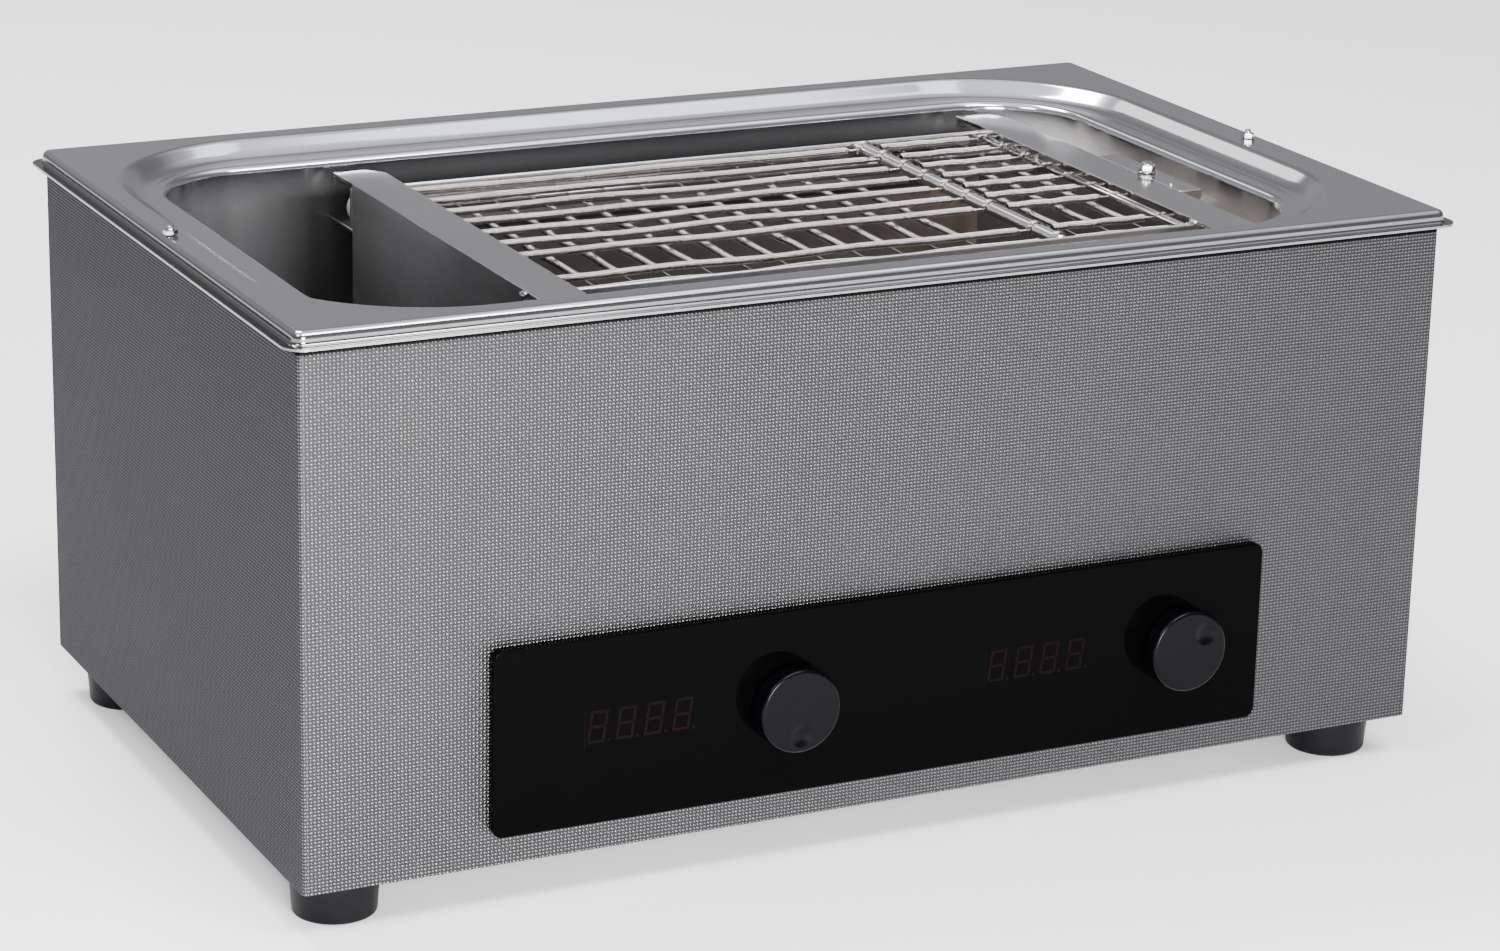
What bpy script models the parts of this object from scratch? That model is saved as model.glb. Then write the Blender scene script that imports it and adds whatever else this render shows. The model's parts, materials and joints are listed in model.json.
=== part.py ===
# Shaking water bath: embossed sheet casing, pressed tank, sprung carriage on rollers, crank drive
import math

import bmesh
import bpy
from mathutils import Matrix, Vector

# Clearance between pieces that meet
GAP = 0.0003

# Casing and feet
CASING_H = 0.2325
SHEET = 0.0012
BEND_R = 0.0025
BACK_DROP = 0.002
FOOT_H = 0.020
FOOT_TOP_R = 0.0185
FOOT_BASE_R = 0.0160
FOOT_INSET_X = 0.0235
FOOT_INSET_Y = 0.0275

# Tank and its rim
TANK_SHEET = 0.001
LIP_W = 0.0045
LIP_R = 0.010
PLATEAU_W = 0.530
PLATEAU_D = 0.325
PLATEAU_R = 0.0045
RIM_OVER_X = 0.002
RIM_OVER_Y = 0.0025
RIM_STEP = 0.0055
RIM_ROLL = 0.003
RECESS_MARGIN_X = 0.017
RECESS_MARGIN_Y = 0.015
RECESS_R = 0.076
RECESS_ROLL = 0.004
LEDGE_DROP = 0.009
LEDGE_X = 0.021
LEDGE_Y = 0.022
WELL_R = 0.038
WELL_ROLL = 0.005
UNDER_SPACE = 0.0831
FLOOR_R = 0.022
TANK_X = -0.004
TANK_Y = -0.001
STUD_R = 0.0015
STUD_H = 0.004
STUD_NUT_R = 0.0031
STUD_NUT_H = 0.0024
STUD_LEFT = (-0.2605, -0.0035)
STUD_RIGHT = (0.2570, -0.0135)

# Control panel, displays and knobs
PANEL_W = 0.362
PANEL_H = 0.0805
PANEL_T = 0.005
PANEL_R = 0.0045
PANEL_X = -0.0025
PANEL_Z = 0.0538
DISPLAY_W = 0.0503
DISPLAY_H = 0.019
DISPLAY_SET = 0.0006
DISPLAY_LEFT_X = -0.1186
DISPLAY_RIGHT_X = 0.0668
DISPLAY_Z = 0.0551
KNOB_R = 0.01825
KNOB_LEN = 0.0085
KNOB_GAP = 0.0046
KNOB_EDGE = 0.001
KNOB_HUB_R = 0.008
KNOB_HUB_GAP = 0.0008
KNOB_LEFT_X = -0.0513
KNOB_RIGHT_X = 0.1357
KNOB_Z = 0.0540
DIMPLE_R = 0.0053
DIMPLE_DEPTH = 0.0014
DIMPLE_OFF = 0.0105
SHAFT_R = 0.003
BUSH_R = 0.0045
ENCODER_R = 0.008
ENCODER_T = 0.0095
BOARD_W = 0.330
BOARD_H = 0.064
BOARD_T = 0.0016
SPACER_R = 0.003
SPACER_INSET = 0.007

# Carriage
LEFT_BAY = 0.0875
RIGHT_BAY = 0.0245
SIDE_BAY = 0.031
CAR_SHEET = 0.0015
FLANGE_W = 0.023
FLANGE_BAY = 0.00575
FLANGE_CHAMFER = 0.008
FLANGE_DROP = 0.0115
FLANGE_HOOK = 0.006
TRAY_CLEAR = 0.0265
SHEET_INSET = 0.0002
END_FOOT = 0.012
RAIL_T = 0.002
RAIL_H = 0.017
RAIL_LIP = 0.008
RAIL_LIP_DROP = 0.0085
BAR_R = 0.003
BAR_OFF = 0.0865
TAB_W = 0.0115
TAB_LEN = 0.072
TRAY_T = 0.0015

# Springs
COIL_R = 0.0021
WIRE_R = 0.0006
SPRING_DROP = 0.0045
ROW_EDGE = 0.0036
SPRING_ROWS = 10
EMPTY_ROW = 2
CURLED_ROW = 0
HOOK_LEN = 0.011
LOWER_DROP = 0.0048
LOWER_LEFT_N = 11
LOWER_RIGHT_N = 3
LOWER_LEFT_START = 0.0426
LOWER_LEFT_END = 0.0294
LOWER_RIGHT_START = 0.0215
LOWER_RIGHT_END = 0.0082
LOWER_HOOK = 0.037
ROD_HOOK_R = 0.0009
CURLS = 60
CURL_POINTS = 8

# Rollers and their rails on the tank walls
ROLLER_R = 0.008
ROLLER_W = 0.006
ROLLER_OFF = 0.004
ROLLER_DROP = 0.0135
ROLLER_INSET = 0.0100
AXLE_R = 0.0025
TRACK_T = 0.0015
TRACK_OVER = 0.004
TRACK_CHAMFER = 0.008
TRACK_LEG = 0.012

# Drive
DRIVE_Y = -0.013
ROD_R = 0.004
ROD_DROP = 0.0185
BLOCK_W = 0.014
BLOCK_D = 0.018
BLOCK_H = 0.023
BOLT_R = 0.002
BOLT_HEAD_R = 0.0039
BOLT_HEAD_H = 0.0032
BOLT_END_H = 0.005
BOLT_LEN = 0.009
BUSHING_R = 0.0065
BUSHING_FLANGE_R = 0.0095
YOKE_T = 0.003
YOKE_W = 0.044
ARM_W = 0.024
ARM_OFF = 0.0165
CRANK_OFF = 0.056
CRANK_R = 0.010
DISC_R = 0.016
DISC_T = 0.006
PIN_R = 0.0025
SLOT_SLACK = 0.0055
DRIVE_SHAFT_R = 0.004
MOTOR_R = 0.025
MOTOR_H = 0.042
BRACKET_T = 0.003
BRACKET_SPAN = 0.064
BRACKET_D = 0.056
BRACKET_FOOT = 0.014

# Heater, sensor and power inlet
HEATER_INSET_X = 0.107
HEATER_INSET_Y = 0.0555
HEATER_OFF = 0.050
HEATER_T = 0.003
SENSOR_R = 0.003
SENSOR_LEN = 0.030
INLET_OFF = 0.113
INLET_Z = 0.045
INLET_W = 0.056
INLET_H = 0.034
INLET_T = 0.0025
INLET_BODY_W = 0.048
INLET_BODY_H = 0.027
INLET_DEPTH = 0.024
ROCKER_W = 0.010
ROCKER_H = 0.018
ROCKER_TILT = math.radians(7)

# Widths and depths that follow from the rim
CASING_W = PLATEAU_W - 2 * RIM_OVER_X
CASING_D = PLATEAU_D - 2 * RIM_OVER_Y
RECESS_W = PLATEAU_W - 2 * RECESS_MARGIN_X
RECESS_D = PLATEAU_D - 2 * RECESS_MARGIN_Y
WELL_W = RECESS_W - 2 * LEDGE_X
WELL_D = RECESS_D - 2 * LEDGE_Y
WELL_LEFT = TANK_X - WELL_W / 2
WELL_RIGHT = TANK_X + WELL_W / 2
CAR_LEFT = WELL_LEFT + LEFT_BAY
CAR_RIGHT = WELL_RIGHT - RIGHT_BAY
CAR_X = (CAR_LEFT + CAR_RIGHT) / 2
END_D = WELL_D - 2 * SIDE_BAY
FLANGE_LEN = WELL_D - 2 * FLANGE_BAY
SPRING_PITCH = (END_D - 2 * ROW_EDGE) / (SPRING_ROWS - 1)
BAR_X = CAR_RIGHT - BAR_OFF
CRANK_X = WELL_RIGHT - CRANK_OFF
HEATER_W = WELL_W - 2 * HEATER_INSET_X
HEATER_D = WELL_D - 2 * HEATER_INSET_Y
INLET_X = CASING_W / 2 - INLET_OFF

# Heights and places that follow from the sizes above
BASE_Z = FOOT_H
RIM_Z = BASE_Z + CASING_H + 2 * GAP + TANK_SHEET
LIP_Z = RIM_Z - RIM_STEP
LEDGE_Z = RIM_Z - LEDGE_DROP
UNDER_Z = BASE_Z + UNDER_SPACE
WELL_Z = UNDER_Z + TANK_SHEET
FRONT_REACH = CASING_D / 2 + GAP + PANEL_T + KNOB_GAP + KNOB_LEN
BACK_REACH = PLATEAU_D / 2 + LIP_W
CASE_Y = (FRONT_REACH - BACK_REACH) / 2
FRONT_Y = CASE_Y - CASING_D / 2
BACK_Y = CASE_Y + CASING_D / 2
PANEL_FACE_Y = FRONT_Y - GAP - PANEL_T
WELL_Y = CASE_Y + TANK_Y
END_LEFT = CAR_LEFT + SHEET_INSET + CAR_SHEET
END_RIGHT = CAR_RIGHT - FLANGE_W
FLANGE_Z = RIM_Z - FLANGE_DROP
FLANGE_UNDER = FLANGE_Z - CAR_SHEET
END_Z = WELL_Z + TRAY_CLEAR
SPRING_Z = FLANGE_Z - SPRING_DROP
LOWER_Z = SPRING_Z - LOWER_DROP
RAIL_IN = END_D / 2 + GAP
RAIL_OUT = RAIL_IN + RAIL_T
ROLLER_Z = FLANGE_Z - ROLLER_DROP
ROD_Z = FLANGE_Z - ROD_DROP
ROD_Y = WELL_Y + DRIVE_Y
BLOCK_X = CAR_RIGHT + TAB_W - BLOCK_W / 2
MOTOR_Z = BASE_Z + SHEET + 0.002
BRACKET_Z = MOTOR_Z + MOTOR_H + GAP
DISC_Z = BRACKET_Z + BRACKET_T + 0.003
YOKE_Z = DISC_Z + DISC_T + 0.001
ARM_X = WELL_RIGHT + ARM_OFF

FACE_FRONT = (math.pi / 2, 0.0, 0.0)
ALONG_X = (0.0, math.pi / 2, 0.0)
UPRIGHT = (0.0, 0.0, 0.0)


# Scene

for old in list(bpy.data.objects):
    bpy.data.objects.remove(old, do_unlink=True)

PARTS = bpy.data.collections.new("shaking water bath")
TOOLS = bpy.data.collections.new("cutters")
bpy.context.scene.collection.children.link(PARTS)
bpy.context.scene.collection.children.link(TOOLS)


def material(name, colour, roughness, metallic):
    made = bpy.data.materials.new(name)
    made.use_nodes = True
    shader = made.node_tree.nodes["Principled BSDF"]
    shader.inputs["Base Color"].default_value = (*colour, 1.0)
    shader.inputs["Roughness"].default_value = roughness
    shader.inputs["Metallic"].default_value = metallic
    return made


EMBOSSED = material("embossed_steel", (0.42, 0.41, 0.43), 0.45, 1.0)
POLISHED = material("polished_steel", (0.60, 0.60, 0.62), 0.18, 1.0)
PLAIN_STEEL = material("plain_steel", (0.50, 0.50, 0.52), 0.35, 1.0)
SPRING_STEEL = material("spring_steel", (0.45, 0.45, 0.47), 0.30, 1.0)
BRASS = material("brass", (0.60, 0.45, 0.18), 0.35, 1.0)
GLOSS_BLACK = material("gloss_black", (0.010, 0.010, 0.011), 0.12, 0.0)
KNOB_BLACK = material("knob_black", (0.030, 0.030, 0.036), 0.22, 0.0)
RUBBER = material("rubber", (0.020, 0.020, 0.022), 0.75, 0.0)
LENS = material("display_lens", (0.030, 0.008, 0.014), 0.25, 0.0)
BOARD_GREEN = material("circuit_board", (0.020, 0.120, 0.050), 0.50, 0.0)
HEATER_ORANGE = material("heater_silicone", (0.450, 0.120, 0.040), 0.60, 0.0)
NYLON = material("white_nylon", (0.75, 0.75, 0.72), 0.50, 0.0)


def place(obj, paint, parent=None, home=PARTS):
    home.objects.link(obj)
    obj.data.materials.append(paint)
    if parent is not None:
        obj.parent = parent
        obj.matrix_parent_inverse = parent.matrix_basis.inverted()
    return obj


def pivot(name, spot):
    made = bpy.data.objects.new(name, None)
    made.location = spot
    made.empty_display_size = 0.02
    PARTS.objects.link(made)
    return made


def box(name, low, high, paint, parent=None, home=PARTS):
    low = Vector(low)
    high = Vector(high)
    half = (high - low) / 2
    form = bmesh.new()
    bmesh.ops.create_cube(form, size=2.0, matrix=Matrix.Diagonal((*half, 1.0)))
    mesh = bpy.data.meshes.new(name)
    form.to_mesh(mesh)
    form.free()
    obj = bpy.data.objects.new(name, mesh)
    obj.location = (low + high) / 2
    return place(obj, paint, parent, home)


def rod(name, spot, turn, radius, length, paint, sides=24, parent=None, home=PARTS):
    form = bmesh.new()
    bmesh.ops.create_cone(
        form, cap_ends=True, segments=sides, radius1=radius, radius2=radius, depth=length
    )
    mesh = bpy.data.meshes.new(name)
    form.to_mesh(mesh)
    form.free()
    obj = bpy.data.objects.new(name, mesh)
    obj.location = spot
    obj.rotation_euler = turn
    return place(obj, paint, parent, home)


def lathe(name, profile, spot, turn, paint, sides=32, parent=None, home=PARTS):
    mesh = bpy.data.meshes.new(name)
    ring = profile[0] == profile[-1]
    points = [(radius, 0.0, height) for radius, height in profile]
    edges = [(i, i + 1) for i in range(len(points) - 1)]
    if ring:
        points.pop()
        edges[-1] = (len(points) - 1, 0)
    mesh.from_pydata(points, edges, [])
    obj = bpy.data.objects.new(name, mesh)
    obj.location = spot
    obj.rotation_euler = turn
    spin = obj.modifiers.new("turn", "SCREW")
    spin.steps = sides
    spin.render_steps = sides
    spin.use_merge_vertices = True
    spin.merge_threshold = 1e-6
    return place(obj, paint, parent, home)


def meshed(curve_obj):
    bpy.context.view_layer.update()
    graph = bpy.context.evaluated_depsgraph_get()
    mesh = bpy.data.meshes.new_from_object(curve_obj.evaluated_get(graph))
    form = bmesh.new()
    form.from_mesh(mesh)
    bmesh.ops.remove_doubles(form, verts=form.verts, dist=1e-7)
    form.to_mesh(mesh)
    form.free()
    return mesh


def plate(name, loops, thick, spot, turn, paint, parent=None, home=PARTS):
    curve = bpy.data.curves.new(name, "CURVE")
    curve.dimensions = "2D"
    curve.fill_mode = "BOTH"
    curve.extrude = thick / 2
    for loop in loops:
        line = curve.splines.new("POLY")
        line.points.add(len(loop) - 1)
        for dot, (x, y) in zip(line.points, loop):
            dot.co = (x, y, 0.0, 1.0)
        line.use_cyclic_u = True
    flat = bpy.data.objects.new(name, curve)
    PARTS.objects.link(flat)
    mesh = meshed(flat)
    bpy.data.objects.remove(flat, do_unlink=True)
    obj = bpy.data.objects.new(name, mesh)
    obj.location = spot
    obj.rotation_euler = turn
    return place(obj, paint, parent, home)


def wire(name, points, radius, paint, parent=None, home=PARTS):
    curve = bpy.data.curves.new(name, "CURVE")
    curve.dimensions = "3D"
    curve.bevel_depth = radius
    curve.bevel_resolution = 1
    curve.use_fill_caps = True
    line = curve.splines.new("POLY")
    line.points.add(len(points) - 1)
    for dot, point in zip(line.points, points):
        dot.co = (*point, 1.0)
    thread = bpy.data.objects.new(name, curve)
    PARTS.objects.link(thread)
    mesh = meshed(thread)
    bpy.data.objects.remove(thread, do_unlink=True)
    return place(bpy.data.objects.new(name, mesh), paint, parent, home)


def hide(tool):
    tool.hide_render = True
    tool.display_type = "WIRE"
    return tool


def combine(obj, tool, operation):
    step = obj.modifiers.new(operation.lower(), "BOOLEAN")
    step.operation = operation
    step.solver = "EXACT"
    step.object = hide(tool)
    return obj


def cut(obj, tool):
    return combine(obj, tool, "DIFFERENCE")


def join(obj, tool):
    return combine(obj, tool, "UNION")


def join_all(obj, tools, name):
    group = bpy.data.collections.new(name)
    TOOLS.children.link(group)
    for tool in tools:
        TOOLS.objects.unlink(tool)
        group.objects.link(hide(tool))
    step = obj.modifiers.new("union", "BOOLEAN")
    step.operation = "UNION"
    step.solver = "EXACT"
    step.operand_type = "COLLECTION"
    step.collection = group
    return obj


def circle(x, y, radius, sides=24):
    dots = []
    for i in range(sides):
        angle = 2 * math.pi * i / sides
        dots.append((x + radius * math.cos(angle), y + radius * math.sin(angle)))
    return dots


def rounded(width, depth, radius, x=0.0, y=0.0, steps=5):
    dots = []
    corners = ((1, 1, 0), (-1, 1, 90), (-1, -1, 180), (1, -1, 270))
    for side_x, side_y, start in corners:
        mid_x = x + side_x * (width / 2 - radius)
        mid_y = y + side_y * (depth / 2 - radius)
        for i in range(steps + 1):
            angle = math.radians(start + 90 * i / steps)
            dots.append((mid_x + radius * math.cos(angle), mid_y + radius * math.sin(angle)))
    return dots


# Casing

def casing_path():
    side = CASING_W / 2
    dots = [(-side, BACK_Y - SHEET - GAP)]
    for mid_x, start in ((-side + BEND_R, 180), (side - BEND_R, 270)):
        for i in range(5):
            angle = math.radians(start + 90 * i / 4)
            x = mid_x + BEND_R * math.cos(angle)
            dots.append((x, FRONT_Y + BEND_R + BEND_R * math.sin(angle)))
    dots.append((side, BACK_Y - SHEET - GAP))
    return dots


def casing_wrap():
    path = casing_path()
    count = len(path)
    points = [(x, y, BASE_Z) for x, y in path]
    points += [(x, y, BASE_Z + CASING_H) for x, y in path]
    faces = [(i, i + 1, count + i + 1, count + i) for i in range(count - 1)]
    mesh = bpy.data.meshes.new("casing_wrap")
    mesh.from_pydata(points, [], faces)
    obj = place(bpy.data.objects.new("casing_wrap", mesh), EMBOSSED)
    shell = obj.modifiers.new("sheet", "SOLIDIFY")
    shell.thickness = SHEET
    shell.offset = -1.0
    shell.use_even_offset = True
    for x in (DISPLAY_LEFT_X, DISPLAY_RIGHT_X):
        cut(obj, window_tool(x))
    for x in (KNOB_LEFT_X, KNOB_RIGHT_X):
        spot = (x, FRONT_Y, BASE_Z + KNOB_Z)
        cut(obj, rod("encoder_hole", spot, FACE_FRONT, BUSH_R + GAP, 0.02, EMBOSSED, home=TOOLS))
    return obj


def window_tool(x):
    low = (x - DISPLAY_W / 2 - GAP, FRONT_Y - 0.002, BASE_Z + DISPLAY_Z - DISPLAY_H / 2 - GAP)
    high = (x + DISPLAY_W / 2 + GAP, FRONT_Y + 0.004, BASE_Z + DISPLAY_Z + DISPLAY_H / 2 + GAP)
    return box("window_tool", low, high, EMBOSSED, home=TOOLS)


def back_panel():
    low = (-CASING_W / 2, BACK_Y - SHEET, BASE_Z)
    high = (CASING_W / 2, BACK_Y, BASE_Z + CASING_H - BACK_DROP)
    obj = box("back_panel", low, high, EMBOSSED)
    half_w = INLET_BODY_W / 2 + GAP
    half_h = INLET_BODY_H / 2 + GAP
    mid_z = BASE_Z + INLET_Z
    low = (INLET_X - half_w, BACK_Y - 0.01, mid_z - half_h)
    high = (INLET_X + half_w, BACK_Y + 0.01, mid_z + half_h)
    return cut(obj, box("inlet_hole", low, high, EMBOSSED, home=TOOLS))


def base_plate():
    inset = SHEET + GAP
    low = (-CASING_W / 2 + inset, FRONT_Y + inset, BASE_Z)
    high = (CASING_W / 2 - inset, BACK_Y - SHEET - GAP, BASE_Z + SHEET)
    obj = box("base_plate", low, high, PLAIN_STEEL)
    edges = obj.modifiers.new("corners", "BEVEL")
    edges.width = BEND_R
    edges.segments = 3
    edges.limit_method = "WEIGHT"
    weight = obj.data.attributes.new("bevel_weight_edge", "FLOAT", "EDGE")
    for edge in obj.data.edges:
        ends = [obj.data.vertices[i].co for i in edge.vertices]
        upright = abs(ends[0].z - ends[1].z) > SHEET / 2
        weight.data[edge.index].value = 1.0 if upright else 0.0
    return obj


def feet():
    edge = 0.0015
    profile = [
        (0.0, FOOT_H - GAP),
        (FOOT_TOP_R, FOOT_H - GAP),
        (FOOT_TOP_R, FOOT_H * 0.72),
        (FOOT_BASE_R + edge, edge),
        (FOOT_BASE_R, 0.0),
        (0.0, 0.0),
    ]
    spots = {
        "foot_front_left": (-1, -1),
        "foot_front_right": (1, -1),
        "foot_back_left": (-1, 1),
        "foot_back_right": (1, 1),
    }
    for name, (side_x, side_y) in spots.items():
        x = side_x * (CASING_W / 2 - FOOT_INSET_X)
        y = CASE_Y + side_y * (CASING_D / 2 - FOOT_INSET_Y)
        lathe(name, profile, (x, y, 0.0), UPRIGHT, RUBBER, sides=24)


# Tank

def bend(width, depth, radius, start, stop, roll, z, steps=3):
    # Rings round a rolled edge: each has its growth over the contour and its height
    rings = []
    for i in range(steps + 1):
        angle = math.radians(start + (stop - start) * i / steps)
        rings.append((width, depth, radius, roll * math.cos(angle), z + roll * math.sin(angle)))
    return rings


def tank_rings():
    outer = (PLATEAU_W, PLATEAU_D, PLATEAU_R)
    recess = (RECESS_W, RECESS_D, RECESS_R)
    well = (WELL_W, WELL_D, WELL_R)
    rings = [(PLATEAU_W, PLATEAU_D, LIP_R - LIP_W, LIP_W, LIP_Z)]
    rings += [(*outer, 0.0015, LIP_Z), (*outer, 0.0004, LIP_Z + 0.0004), (*outer, 0.0, LIP_Z + 0.0015)]
    for w, d, r, grow, z in bend(*outer, 0, 90, RIM_ROLL, RIM_Z - RIM_ROLL):
        rings.append((w, d, r, grow - RIM_ROLL, z))
    split = len(rings)
    for w, d, r, grow, z in bend(*recess, 90, 180, RECESS_ROLL, RIM_Z - RECESS_ROLL):
        rings.append((w, d, r, grow + RECESS_ROLL, z))
    for w, d, r, grow, z in bend(*recess, 0, -90, RECESS_ROLL, LEDGE_Z + RECESS_ROLL):
        rings.append((w, d, r, grow - RECESS_ROLL, z))
    for w, d, r, grow, z in bend(*well, 90, 180, WELL_ROLL, LEDGE_Z - WELL_ROLL):
        rings.append((w, d, r, grow + WELL_ROLL, z))
    for w, d, r, grow, z in bend(*well, 0, -90, FLOOR_R, WELL_Z + FLOOR_R):
        rings.append((w, d, r, grow - FLOOR_R, z))
    return rings, split


def tank():
    rings, split = tank_rings()
    points = []
    for number, (w, d, r, grow, z) in enumerate(rings):
        x, y = (0.0, CASE_Y) if number < split else (TANK_X, WELL_Y)
        loop = rounded(w + 2 * grow, d + 2 * grow, max(r + grow, 0.0015), x, y, steps=6)
        points += [(dot_x, dot_y, z) for dot_x, dot_y in loop]
    count = len(points) // len(rings)
    faces = []
    for level in range(len(rings) - 1):
        for i in range(count):
            here = level * count
            after = (i + 1) % count
            faces.append((here + i, here + after, here + count + after, here + count + i))
    faces.append(tuple(range(len(points) - count, len(points))))
    mesh = bpy.data.meshes.new("tank")
    mesh.from_pydata(points, [], faces)
    obj = place(bpy.data.objects.new("tank", mesh), POLISHED)
    shell = obj.modifiers.new("sheet", "SOLIDIFY")
    shell.thickness = TANK_SHEET
    shell.offset = -1.0
    shell.use_even_offset = True
    spot = (WELL_RIGHT, ROD_Y, ROD_Z)
    cut(obj, rod("bush_hole", spot, ALONG_X, BUSHING_R + GAP, 0.02, POLISHED, home=TOOLS))
    return obj


def rim_studs():
    # A hexagon nut with the end of its stud above it
    profile = [
        (0.0, STUD_H),
        (STUD_R, STUD_H),
        (STUD_R, STUD_NUT_H),
        (STUD_NUT_R, STUD_NUT_H),
        (STUD_NUT_R, GAP),
        (0.0, GAP),
    ]
    for name, (x, y) in (("rim_stud_left", STUD_LEFT), ("rim_stud_right", STUD_RIGHT)):
        spot = (x, CASE_Y + y, RIM_Z)
        lathe(name, profile, spot, UPRIGHT, PLAIN_STEEL, sides=6)


# Control panel

def control_panel():
    loops = [rounded(PANEL_W, PANEL_H, PANEL_R)]
    for x in (DISPLAY_LEFT_X, DISPLAY_RIGHT_X):
        width = DISPLAY_W + 2 * GAP
        height = DISPLAY_H + 2 * GAP
        loops.append(rounded(width, height, 0.0004, x - PANEL_X, DISPLAY_Z - PANEL_Z, steps=1))
    for x in (KNOB_LEFT_X, KNOB_RIGHT_X):
        loops.append(circle(x - PANEL_X, KNOB_Z - PANEL_Z, BUSH_R + GAP))
    spot = (PANEL_X, PANEL_FACE_Y + PANEL_T / 2, BASE_Z + PANEL_Z)
    return plate("control_panel", loops, PANEL_T, spot, FACE_FRONT, GLOSS_BLACK)


def board_front():
    return FRONT_Y + SHEET + GAP + ENCODER_T + GAP


def displays():
    for name, x in (("display_left", DISPLAY_LEFT_X), ("display_right", DISPLAY_RIGHT_X)):
        z = BASE_Z + DISPLAY_Z
        low = (x - DISPLAY_W / 2, PANEL_FACE_Y + DISPLAY_SET, z - DISPLAY_H / 2)
        high = (x + DISPLAY_W / 2, board_front() - GAP, z + DISPLAY_H / 2)
        box(name, low, high, LENS)


def encoder_bush_end():
    return PANEL_FACE_Y + GAP


def encoders():
    back = FRONT_Y + SHEET + GAP + ENCODER_T
    shoulder = ENCODER_T
    tip = back - encoder_bush_end()
    well = 0.002
    bore = SHAFT_R + GAP
    profile = [
        (0.0, well),
        (bore, well),
        (bore, tip),
        (BUSH_R, tip),
        (BUSH_R, shoulder),
        (ENCODER_R, shoulder),
        (ENCODER_R, 0.0),
        (0.0, 0.0),
    ]
    for name, x in (("encoder_left", KNOB_LEFT_X), ("encoder_right", KNOB_RIGHT_X)):
        spot = (x, back, BASE_Z + KNOB_Z)
        lathe(name, profile, spot, FACE_FRONT, PLAIN_STEEL, sides=20)
    start = back - well - GAP
    end = PANEL_FACE_Y - KNOB_GAP - KNOB_LEN * 0.55
    for name, x in (("encoder_shaft_left", KNOB_LEFT_X), ("encoder_shaft_right", KNOB_RIGHT_X)):
        spot = (x, (start + end) / 2, BASE_Z + KNOB_Z)
        rod(name, spot, FACE_FRONT, SHAFT_R, start - end, BRASS, sides=20)


def knob(name, x, direction):
    face = KNOB_GAP + KNOB_LEN
    bore = SHAFT_R + GAP
    deep = KNOB_GAP + KNOB_LEN * 0.55 + GAP
    profile = [(0.0, face)]
    for i in range(4):
        angle = math.radians(90 - 30 * i)
        radius = KNOB_R - KNOB_EDGE + KNOB_EDGE * math.cos(angle)
        profile.append((radius, face - KNOB_EDGE + KNOB_EDGE * math.sin(angle)))
    profile += [
        (KNOB_R, KNOB_GAP),
        (KNOB_HUB_R, KNOB_GAP),
        (KNOB_HUB_R, KNOB_HUB_GAP),
        (bore, KNOB_HUB_GAP),
        (bore, deep),
        (0.0, deep),
    ]
    spot = (x, PANEL_FACE_Y, BASE_Z + KNOB_Z)
    obj = lathe(name, profile, spot, FACE_FRONT, KNOB_BLACK, sides=32)
    ball = (DIMPLE_R ** 2 + DIMPLE_DEPTH ** 2) / (2 * DIMPLE_DEPTH)
    form = bmesh.new()
    bmesh.ops.create_uvsphere(form, u_segments=24, v_segments=18, radius=ball)
    mesh = bpy.data.meshes.new("dimple_tool")
    form.to_mesh(mesh)
    form.free()
    tool = bpy.data.objects.new("dimple_tool", mesh)
    out_x = x + DIMPLE_OFF * math.cos(direction)
    out_z = BASE_Z + KNOB_Z + DIMPLE_OFF * math.sin(direction)
    tool.location = (out_x, PANEL_FACE_Y - face - ball + DIMPLE_DEPTH, out_z)
    tool.rotation_euler = FACE_FRONT
    place(tool, KNOB_BLACK, home=TOOLS)
    return cut(obj, tool)


def board():
    y = board_front()
    z = BASE_Z + PANEL_Z
    low = (PANEL_X - BOARD_W / 2, y, z - BOARD_H / 2)
    high = (PANEL_X + BOARD_W / 2, y + BOARD_T, z + BOARD_H / 2)
    box("control_board", low, high, BOARD_GREEN)
    length = ENCODER_T
    number = 0
    for side_x in (-1, 1):
        for side_z in (-1, 1):
            number += 1
            x = PANEL_X + side_x * (BOARD_W / 2 - SPACER_INSET)
            up = z + side_z * (BOARD_H / 2 - SPACER_INSET)
            spot = (x, FRONT_Y + SHEET + GAP + length / 2, up)
            rod(f"board_spacer_{number}", spot, FACE_FRONT, SPACER_R, length - GAP, NYLON, sides=12)


# Carriage

def flange_outline(low, high, tab):
    reach = FLANGE_LEN / 2
    cut_x = high - FLANGE_CHAMFER
    cut_y = reach - FLANGE_CHAMFER
    outline = [(low, -reach), (cut_x, -reach), (high, -cut_y)]
    if tab:
        outline.append((high, DRIVE_Y - TAB_LEN / 2))
        outline.append((high + TAB_W, DRIVE_Y - TAB_LEN / 2))
        outline.append((high + TAB_W, DRIVE_Y + TAB_LEN / 2))
        outline.append((high, DRIVE_Y + TAB_LEN / 2))
    return outline + [(high, cut_y), (cut_x, reach), (low, reach)]


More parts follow.
